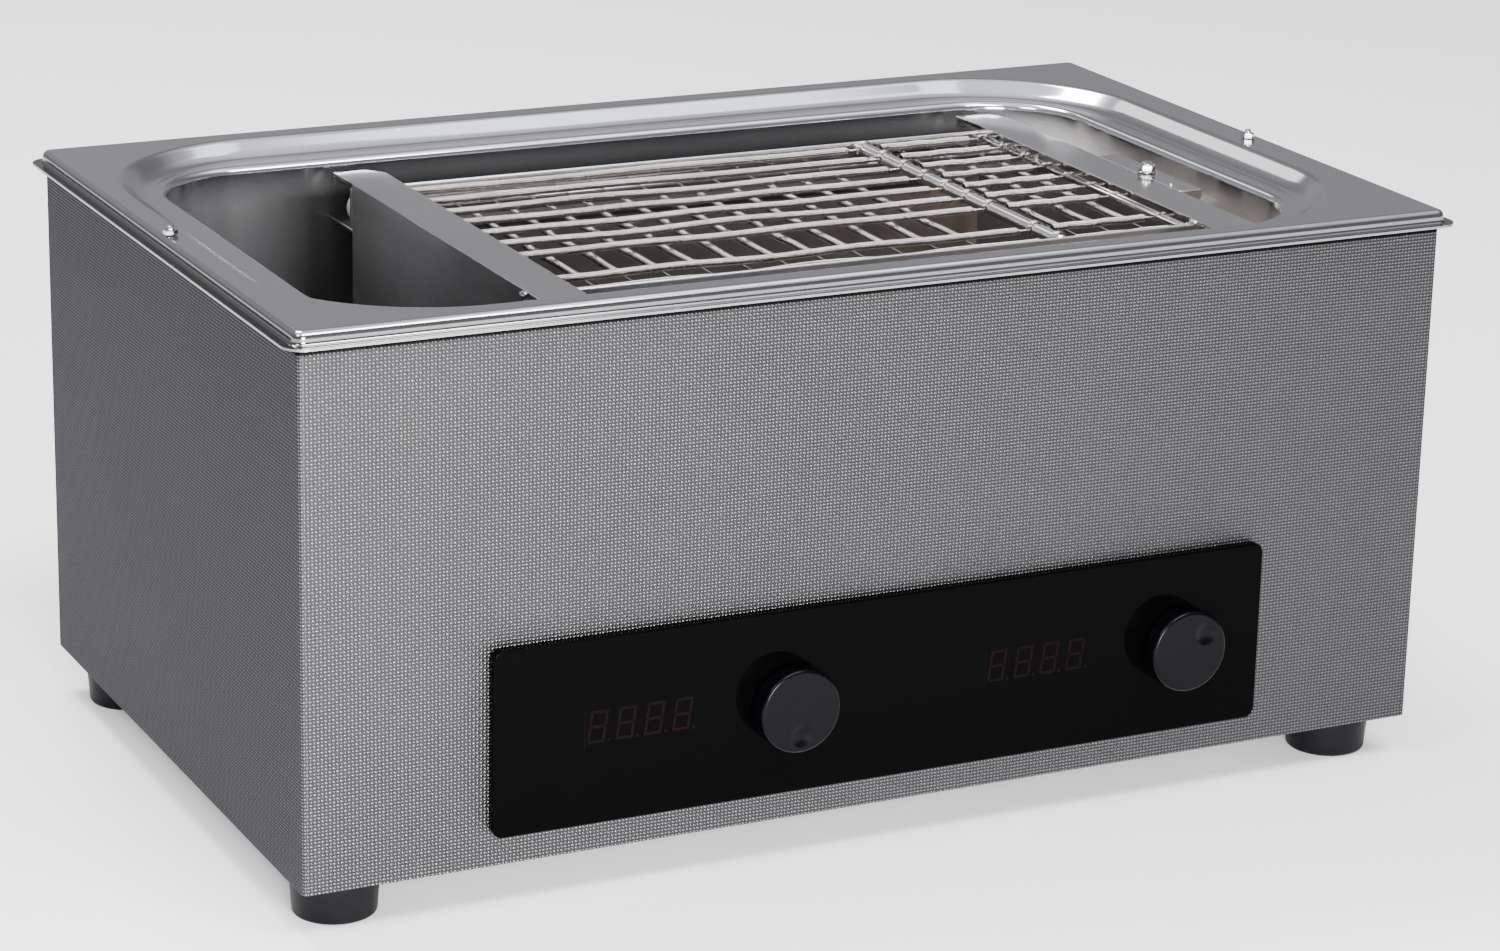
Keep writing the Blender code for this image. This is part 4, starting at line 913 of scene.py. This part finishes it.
def rocker_marks():
    # A bar on the upper half of the rocker and a ring on the lower half
    node = frame["nodes"]["rocker"]
    low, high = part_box("rocker")
    inward = node.matrix_world.inverted()
    form = Form()
    for share, sides in ((0.26, 24), (0.74, 4)):
        start = Vector(((low.x + high.x) / 2, high.y + 10 * MM, low.z + (high.z - low.z) * share))
        found, spot, normal, _ = node.ray_cast(inward @ start, inward.to_3x3() @ Vector((0, -1, 0)))
        spot = node.matrix_world @ spot
        normal = (node.matrix_world.to_3x3() @ normal).normalized()
        across = normal.cross(Vector((0, 0, 1))).normalized()
        upward = across.cross(normal)
        if sides == 4:
            outline = [(-MARK_T / 2, -MARK_R), (MARK_T / 2, -MARK_R), (MARK_T / 2, MARK_R), (-MARK_T / 2, MARK_R)]
            form.prism([across * x + upward * z for x, z in outline], spot, spot + normal * MARK_PROUD)
            continue
        rims = ((MARK_R, 0.0), (MARK_R, MARK_PROUD), (MARK_R - MARK_T, MARK_PROUD), (MARK_R - MARK_T, 0.0))
        loops = []
        for radius, height in rims:
            ring = arc((0.0, 0.0), radius, 0, 360 - 360 / sides, sides - 1)
            loops.append([spot + across * x + upward * z + normal * height for x, z in ring])
        form.loft(loops)
    piece(form.make("rocker_marks", MARK_WHITE), "rocker_body", "knob_black")


# Carriage sheets

END_D = 189.0 * MM
FLANGE_CHAMFER = 8 * MM
FLANGE_HOOK = 6 * MM
END_FOOT = 12 * MM
TAB_W = 11.5 * MM
TAB_LEN = 72 * MM
DRIVE_Y = -13 * MM


def end_panel(name, low, flange_right, foot_side):
    # Middle surface of the folded sheet: foot, wall, flange and its turned-down ends
    wall = low.x + 0.2 * MM + CAR_SHEET / 2
    floor_z = low.z + 0.2 * MM + CAR_SHEET / 2
    top = FLANGE_Z - CAR_SHEET / 2
    half = END_D / 2
    profile = [(wall + foot_side * END_FOOT, floor_z), (wall, floor_z), (wall, top)]
    form = Form()
    sheet = form.loft([[(x, WELL_Y + y, z) for x, z in profile] for y in (-half, half)], closed=False)
    reach = (LEFT_HIGH.y - LEFT_LOW.y) / 2 - CAR_SHEET / 2
    cut_x = flange_right - FLANGE_CHAMFER
    cut_y = reach - FLANGE_CHAMFER
    corners = [(wall, -reach), (cut_x, -reach), (flange_right, -cut_y), (flange_right, cut_y), (cut_x, reach), (wall, reach)]
    marks = form.ring([(x, WELL_Y + y, top) for x, y in corners])
    form.faces.append((sheet[0][-1], *marks, sheet[1][-1]))
    for side, first, second in ((-1, marks[0], marks[1]), (1, marks[5], marks[4])):
        hook_y = WELL_Y + side * reach
        hook = form.ring([(x, hook_y, FLANGE_Z - FLANGE_HOOK) for x in (wall, cut_x)])
        form.bridge([first, second], hook, closed=False)
    obj = thicken(form.make(name, SHEET_STEEL), CAR_SHEET)
    return soften(obj, FOLD_R, 3, 50)


def end_panels():
    obj = end_panel("left_end_sheet", LEFT_LOW, LEFT_HIGH.x, 1)
    piece(even_normals(obj), "carriage", "polished_steel", "left_end_panel")
    low = Vector((RIGHT_HIGH.x - TAB_W - FLANGE_W, RIGHT_LOW.y, RIGHT_LOW.z))
    obj = end_panel("right_end_sheet", low, RIGHT_HIGH.x - TAB_W, -1)
    piece(even_normals(obj), "carriage", "polished_steel", "right_end_panel")
    beads(low.x + 0.2 * MM)
    tab()


BEAD_PLACES = (40 * MM, 52 * MM, 73 * MM)
BEAD_R = 0.7 * MM


def beads(face):
    # Upright beads pressed into the right end panel
    form = Form()
    for y in BEAD_PLACES:
        form.tube([(face, WELL_Y + y, FLANGE_Z - 42 * MM), (face, WELL_Y + y, FLANGE_Z - 2 * MM)], BEAD_R, 10)
    piece(form.make("right_panel_beads", RAIL_STEEL), "carriage", "polished_steel")


def tab():
    # Drive tab: a plate against the flange with its front end turned down
    left = RIGHT_HIGH.x - TAB_W + 0.15 * MM
    right = RIGHT_HIGH.x
    top = FLANGE_Z - CAR_SHEET / 2
    back_y = WELL_Y + DRIVE_Y + TAB_LEN / 2
    front_y = WELL_Y + DRIVE_Y - TAB_LEN / 2
    path = [(back_y, top), (front_y, top), (front_y, top - 4 * MM)]
    form = Form()
    form.loft([[(left, y, z) for y, z in path], [(right, y, z) for y, z in path]], closed=False)
    obj = thicken(form.make("drive_tab", SHEET_STEEL), CAR_SHEET)
    soften(obj, FOLD_R, 3, 50)
    piece(even_normals(obj), "carriage", "polished_steel")
    pin = Form()
    pin_r = 0.9 * MM
    profile = [(0.0, -0.5 * MM), (pin_r, -0.5 * MM)] + arc((0.0, 0.0), pin_r, 0, 80, 5) + [(0.0, pin_r)]
    pin.turn(profile, (left + 2 * MM, WELL_Y + DRIVE_Y - 25.4 * MM, FLANGE_Z), "up", 16)
    piece(pin.make("drive_tab_pin", BRIGHT_STEEL), "carriage", "plain_steel")


RAIL_T = 2 * MM
RAIL_LIP = 8 * MM
RAIL_LIP_DROP = 8.5 * MM


def rail(node, side):
    low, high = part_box(node)
    face = WELL_Y + side * (END_D / 2 + 0.3 * MM)
    top = high.z
    strip_z = top - 17 * MM
    middle = face + side * RAIL_T / 2
    section = [(middle - RAIL_T / 2, strip_z + 0.3 * MM), (middle - RAIL_T / 2 + 0.3 * MM, strip_z)]
    section += [(middle + RAIL_T / 2 - 0.3 * MM, strip_z), (middle + RAIL_T / 2, strip_z + 0.3 * MM)]
    section += arc((middle, top - RAIL_T / 2), RAIL_T / 2, 0, 180, 10)
    form = Form()
    form.prism([(0, y, z) for y, z in section], (low.x, 0, 0), (high.x, 0, 0))
    lip_top = top - RAIL_LIP_DROP
    lip_end = face - side * RAIL_LIP
    lip = [(face, lip_top), (lip_end + side * 0.75 * MM, lip_top)]
    for i in range(1, 8):
        angle = math.radians(180 * i / 8)
        lip.append((lip_end + side * 0.75 * MM - side * 0.75 * MM * math.sin(angle),
                    lip_top - 0.75 * MM + 0.75 * MM * math.cos(angle)))
    lip += [(lip_end + side * 0.75 * MM, lip_top - CAR_SHEET), (face, lip_top - CAR_SHEET)]
    start = LEFT_LOW.x + 0.2 * MM + CAR_SHEET + 0.3 * MM
    end = RIGHT_HIGH.x - TAB_W - FLANGE_W - 0.3 * MM
    form.prism([(0, y, z) for y, z in lip], (start, 0, 0), (end, 0, 0))
    outer = middle + side * RAIL_T / 2
    reach = abs((low.y if side < 0 else high.y) - outer)
    way = "front" if side < 0 else "back"
    for wheel in (f"roller_{'front' if side < 0 else 'back'}_{end_name}" for end_name in ("left", "right")):
        wheel_low, wheel_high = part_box(wheel)
        spot = ((wheel_low.x + wheel_high.x) / 2, outer, (wheel_low.z + wheel_high.z) / 2)
        form.turn([(0, 0), (4.2 * MM, 0), (4.2 * MM, 1.2 * MM), (2.5 * MM, 1.6 * MM), (2.5 * MM, reach - 0.4 * MM),
                   (2.1 * MM, reach), (0, reach)], spot, way, 20)
    obj = form.make(f"{node}_strip", RAIL_STEEL)
    return piece(even_normals(obj), "carriage", "polished_steel", node)


TRACK_T = 1.5 * MM
TRACK_OVER = 5.7 * MM
LEG_BACK = 14 * MM


def track(node, side):
    # Shelf that the rollers run on, folded up from a leg against the well's wall
    low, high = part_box(node)
    wall = high.y if side > 0 else low.y
    near = low.y if side > 0 else high.y
    start = low.x + TRACK_OVER
    straight = WELL_RIGHT - WELL_R - 1 * MM
    top = high.z
    shelf = [(start, near), (high.x, near), (high.x, wall - side * 8 * MM), (straight, wall), (start, wall)]
    form = Form()
    form.prism([(x, y, 0) for x, y in shelf], (0, 0, top - TRACK_T), (0, 0, top))
    inside = wall - side * TRACK_T
    form.block((start + LEG_BACK, min(wall, inside), low.z), (straight, max(wall, inside), top - TRACK_T + 0.1 * MM))
    obj = soften(form.make(f"{node}_shelf", SHADED_TRACK_STEEL), 0.3 * MM, 2)
    piece(even_normals(obj), "housing", "polished_steel", node)


def rollers():
    for node in ("roller_front_left", "roller_front_right", "roller_back_left", "roller_back_right"):
        low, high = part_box(node)
        radius = (high.z - low.z) / 2
        width = high.y - low.y
        spot = ((low.x + high.x) / 2, high.y, (low.z + high.z) / 2)
        bore = 2.8 * MM
        profile = [(bore, 0.0), (radius * 0.58, 0.0), (radius * 0.62, 0.5 * MM), (radius * 0.86, 0.5 * MM), (radius * 0.9, 0.0)]
        profile += arc((radius - 0.6 * MM, 0.6 * MM), 0.6 * MM, -90, 0, 4)
        profile += [(r, width - h) for r, h in reversed(profile[1:])]
        profile.append((bore, width))
        profile.append((bore, 0.0))
        form = Form()
        form.turn(profile, spot, "front", 40)
        piece(form.make(f"{node}_tyre", NYLON), f"wheel_{node[7:]}", "white_nylon", node)


def cross_bar():
    length = BAR_HIGH.y - BAR_LOW.y
    radius = (BAR_HIGH.x - BAR_LOW.x) / 2
    profile = [(0.0, 0.0), (radius - 0.5 * MM, 0.0), (radius, 0.5 * MM)]
    profile += [(radius, length - 0.5 * MM), (radius - 0.5 * MM, length), (0.0, length)]
    form = Form()
    form.turn(profile, (BAR_X, BAR_HIGH.y, SPRING_Z), "front", 32)
    piece(form.make("cross_bar_round", BAR_STEEL), "carriage", "polished_steel", "cross_bar")


# Springs

COIL_R = 1.75 * MM
WIRE_R = 0.48 * MM
COIL_PITCH = 0.95 * MM
COIL_WIRE_R = 0.58 * MM
TURN_POINTS = 12
WIRE_CORNERS = [math.radians(turn) for turn in (-80, -27, 27, 80)]


def coil(form, start, end, across, sway):
    # Close-wound wire between two points; sway bends the line of the coil a little
    start = Vector(start)
    end = Vector(end)
    line = end - start
    axis = line.normalized()
    first = Vector(across).normalized()
    second = axis.cross(first)
    turns = max(2, round(line.length / COIL_PITCH))
    count = turns * TURN_POINTS
    radius = COIL_R - COIL_WIRE_R
    phase = random.uniform(0, 2 * math.pi)
    waves = random.uniform(1.6, 3.2)
    loops = []
    for i in range(count + 1):
        part = i / count
        angle = 2 * math.pi * i / TURN_POINTS
        out = first * math.cos(angle) + second * math.sin(angle)
        pinned = math.sin(math.pi * part)
        shift = first * (sway * pinned * math.sin(phase + waves * 2 * math.pi * part))
        centre = start + line * part + shift
        loop = []
        for turn in WIRE_CORNERS:
            loop.append(centre + out * (radius + COIL_WIRE_R * math.cos(turn)) + axis * (COIL_WIRE_R * math.sin(turn)))
        loops.append(loop)
    form.loft(loops, caps=True)
    return start + first * radius, end + first * radius


def hook_round(centre, radius, start, end, steps=14):
    # Points round a bar that runs along Y
    dots = []
    for i in range(steps + 1):
        angle = math.radians(start + (end - start) * i / steps)
        dots.append(Vector((centre[0] + radius * math.cos(angle), centre[1], centre[2] + radius * math.sin(angle))))
    return dots


SPRING_NODES = [f"upper_spring_{i}" for i in (1, 2, 4, 5, 6, 7, 8, 9, 10)]
HOOK_LEN = 11 * MM


def upper_springs():
    bar_r = (BAR_HIGH.x - BAR_LOW.x) / 2 + WIRE_R + 0.1 * MM
    across = Vector((0, 0.9, 0.4))
    for node in SPRING_NODES:
        low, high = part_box(node)
        y = (low.y + high.y) / 2
        form = Form()
        begin = Vector((low.x + HOOK_LEN * 0.6, y, SPRING_Z))
        finish = Vector((high.x - HOOK_LEN * 0.55, y, SPRING_Z))
        first, last = coil(form, begin, finish, across, random.uniform(0.4, 1.1) * MM)
        form.tube([(low.x, y, SPRING_Z), begin - Vector((1.2 * MM, 0, 0)), first], WIRE_R, 6)
        around = hook_round((BAR_X, y - 0.7 * MM, SPRING_Z), bar_r, 180, -40)
        form.tube([last, finish + Vector((1.5 * MM, -0.3 * MM, 0))] + around, WIRE_R, 6)
        piece(form.make(f"{node}_coil", SPRING_WIRE, sharp=120), "carriage", "spring_steel", node)


def right_springs():
    low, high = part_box("right_springs")
    bar_r = (BAR_HIGH.x - BAR_LOW.x) / 2 + WIRE_R + 0.1 * MM
    rod_x = high.x - 0.9 * MM
    across = Vector((0, 0.9, 0.4))
    form = Form()
    form.turn([(0, 0), (0.9 * MM, 0), (0.9 * MM, high.y - low.y), (0, high.y - low.y)], (rod_x, high.y, SPRING_Z), "front", 12)
    for node in SPRING_NODES:
        spring_low, spring_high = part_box(node)
        y = (spring_low.y + spring_high.y) / 2
        begin = Vector((low.x + HOOK_LEN * 0.5, y, SPRING_Z))
        finish = Vector((rod_x - HOOK_LEN * 0.6, y, SPRING_Z))
        first, last = coil(form, begin, finish, across, 0.3 * MM)
        around = hook_round((BAR_X, y + 0.7 * MM, SPRING_Z), bar_r, 0, 220)
        form.tube([first, begin - Vector((1.5 * MM, -0.3 * MM, 0))] + around, WIRE_R, 6)
        around = hook_round((rod_x, y, SPRING_Z), 0.9 * MM + WIRE_R, 180, -60)
        form.tube([last, finish + Vector((1.5 * MM, 0, 0))] + around, WIRE_R, 6)
    piece(form.make("right_springs_coils", SPRING_WIRE, sharp=120), "carriage", "spring_steel", "right_springs")


LOWER_HOOK = 37 * MM
LEFT_COUNT = 11
RIGHT_COUNT = 3


def lower_places(low, high):
    left = low + 42.3 * MM
    places = [left + i * (BAR_X - 29.4 * MM - left) / (LEFT_COUNT - 1) for i in range(LEFT_COUNT)]
    start = BAR_X + 21.5 * MM
    end = high - 7.9 * MM
    return places + [start + i * (end - start) / (RIGHT_COUNT - 1) for i in range(RIGHT_COUNT)]


def eye_round(x, y, z, radius, side):
    # Points round a hook rod that runs along X
    dots = []
    for i in range(15):
        angle = math.radians(180 + 250 * i / 14)
        dots.append(Vector((x, y - side * radius * math.cos(angle), z - radius * math.sin(angle))))
    return dots


def lower_springs():
    low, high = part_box("lower_springs")
    z = (low.z + high.z) / 2
    rod_r = 0.9 * MM
    rods = (low.y + rod_r, high.y - rod_r)
    form = Form()
    for y in rods:
        length = high.x - low.x
        form.turn([(0, 0), (rod_r, 0), (rod_r, length), (0, length)], (low.x, y, z), "x", 12)
    across = Vector((0.9, 0, 0.4))
    for x in lower_places(low.x, high.x):
        begin = Vector((x, rods[0] + LOWER_HOOK, z))
        finish = Vector((x, rods[1] - LOWER_HOOK, z))
        first, last = coil(form, begin, finish, across, random.uniform(0.2, 0.7) * MM)
        for side, end, tip in ((-1, begin, first), (1, finish, last)):
            rod_y = rods[0] if side < 0 else rods[1]
            path = [tip, end + Vector((0, side * 1.6 * MM, 0)), Vector((x, rod_y - side * 4 * MM, z))]
            path += eye_round(x, rod_y, z, rod_r + WIRE_R, side)
            form.tube(path, WIRE_R, 6)
    piece(form.make("lower_springs_coils", SPRING_WIRE, sharp=120), "carriage", "spring_steel", "lower_springs")


# Drive bolt

def drive_bolt():
    low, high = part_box("drive_bolt")
    x = (low.x + high.x) / 2
    y = (low.y + high.y) / 2
    seat = FLANGE_Z + GAP
    washer = (high.x - low.x) / 2
    washer_h = 0.8 * MM
    nut_h = 2.9 * MM
    form = Form()
    form.turn([(0, 0), (washer - 0.2 * MM, 0), (washer, 0.2 * MM), (washer, washer_h - 0.2 * MM),
               (washer - 0.2 * MM, washer_h), (0, washer_h)], (x, y, seat), "up", 32)
    nut(form, (x, y, seat + washer_h), washer * 0.87, nut_h)
    thread(form, (x, y, seat), 2.0 * MM, washer_h + nut_h - 0.5 * MM, high.z - seat, 0.7 * MM)
    shank = seat - low.z
    form.turn([(0, 0), (1.9 * MM, 0), (1.9 * MM, shank), (0, shank)], (x, y, low.z), "up", 20)
    piece(form.make("drive_bolt_nut", BRIGHT_STEEL), "carriage", "plain_steel", "drive_bolt")


# Stage, camera and light

def stage():
    size = 6.0
    form = Form()
    dots = [(-size, -size, 0), (size, -size, 0), (size, size, 0), (-size, size, 0)]
    form.faces.append(tuple(form.ring(dots)))
    form.make("floor", floor_white(), turn_out=False)


IMAGE_W = 1500
FOCAL_PX = 4321.0
SENSOR = 36.0
CAMERA_SPOT = Vector((-0.8145, -1.6536, 0.7054))
CAMERA_YAW = math.radians(26.45)
CAMERA_PITCH = math.radians(17.64)
CAMERA_ROLL = math.radians(1.29)


def camera():
    data = bpy.data.cameras.new("camera")
    data.sensor_fit = "HORIZONTAL"
    data.sensor_width = SENSOR
    data.lens = FOCAL_PX / IMAGE_W * SENSOR
    data.clip_end = 50.0
    obj = bpy.data.objects.new("camera", data)
    level = math.cos(CAMERA_PITCH)
    ahead = Vector((math.sin(CAMERA_YAW) * level, math.cos(CAMERA_YAW) * level, -math.sin(CAMERA_PITCH)))
    right = Vector((math.cos(CAMERA_YAW), -math.sin(CAMERA_YAW), 0.0))
    up = right.cross(ahead)
    turned_right = right * math.cos(CAMERA_ROLL) + up * math.sin(CAMERA_ROLL)
    turned_up = up * math.cos(CAMERA_ROLL) - right * math.sin(CAMERA_ROLL)
    basis = Matrix((turned_right, turned_up, -ahead)).transposed().to_4x4()
    basis.translation = CAMERA_SPOT
    obj.matrix_world = basis
    bpy.context.scene.collection.objects.link(obj)
    bpy.context.scene.camera = obj


def softbox(name, spot, target, width, height, power, colour=(1.0, 1.0, 1.0)):
    data = bpy.data.lights.new(name, "AREA")
    data.shape = "RECTANGLE"
    data.size = width
    data.size_y = height
    data.energy = power
    data.color = colour
    obj = bpy.data.objects.new(name, data)
    obj.location = spot
    aim = Vector(target) - Vector(spot)
    obj.rotation_euler = aim.to_track_quat("-Z", "Y").to_euler()
    bpy.context.scene.collection.objects.link(obj)


def lights():
    world = bpy.data.worlds.new("studio")
    world.use_nodes = True
    bpy.context.scene.world = world
    tree = world.node_tree
    glow = tree.nodes["Background"]
    place = tree.nodes.new("ShaderNodeTexCoord")
    split = tree.nodes.new("ShaderNodeSeparateXYZ")
    ramp = tree.nodes.new("ShaderNodeValToRGB")
    tree.links.new(place.outputs["Generated"], split.inputs[0])
    tree.links.new(split.outputs["Z"], ramp.inputs["Fac"])
    tree.links.new(ramp.outputs["Color"], glow.inputs["Color"])
    stops = ramp.color_ramp.elements
    stops[0].position = 0.0
    stops[0].color = (0.36, 0.36, 0.37, 1.0)
    stops[1].position = 1.0
    stops[1].color = (1.45, 1.50, 1.66, 1.0)
    for height, level in ((0.30, 0.42), (0.42, 0.27), (0.60, 0.32), (0.78, 1.05)):
        stop = stops.new(height)
        stop.color = (level, level * 1.01, level * 1.06, 1.0)
    side = tree.nodes.new("ShaderNodeMapRange")
    side.inputs["From Min"].default_value = -1.0
    side.inputs["To Min"].default_value = 1.40
    side.inputs["To Max"].default_value = 0.72
    tree.links.new(split.outputs["X"], side.inputs["Value"])
    tree.links.new(side.outputs["Result"], glow.inputs["Strength"])
    softbox("front", (-0.38, -1.25, 0.35), (-0.28, 0, 0.14), 0.5, 0.42, 46.0)
    softbox("top", (-0.35, 1.3, 2.3), (0, 0.1, 0.1), 1.0, 0.7, 90.0)
    softbox("high", (0.2, -1.5, 2.6), (0, -0.2, 0.0), 1.6, 0.8, 110.0)
    softbox("back_left", (-0.09, 1.65, 1.36), (0.25, 0, 0.25), 0.5, 0.3, 1.0)
    softbox("left_high", (-1.5, -0.6, 1.6), (0.2, 0.1, 0.22), 0.6, 0.6, 22.0)
    softbox("overhead", (0.8, -0.1, 2.1), (0.05, 0.1, 0.2), 1.4, 0.5, 4.5, (0.84, 0.92, 1.0))


# Putting it together

camera()
lights()
stage()
casing()
back()
feet()
tank()
studs()
panel()
digits()
knob("left_knob", "left_knob_body", -90)
knob("right_knob", "right_knob_body", 45)
rocker_marks()
end_panels()
rail("front_rail", -1)
rail("back_rail", 1)
rollers()
cross_bar()
upper_springs()
right_springs()
lower_springs()
drive_bolt()
slots = {sub["node"]: sub["material_slot"] for sub in frame["record"]["subparts"]}
for node, width in (("rocker", 0.5), ("power_inlet", 0.4), ("drive_rod", 0.6)):
    softened(node, width * MM, SLOT_PAINT[slots[node]], frame["nodes"][node]["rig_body"], slots[node])
softened("tray_floor", 0.3 * MM, TRAY_STEEL, "carriage", slots["tray_floor"])
track("roller_rail_front", -1)
track("roller_rail_back", 1)

for sub in frame["record"]["subparts"]:
    node = frame["nodes"][sub["node"]]
    node.data.materials.clear()
    node.data.materials.append(SLOT_PAINT[sub["material_slot"]])
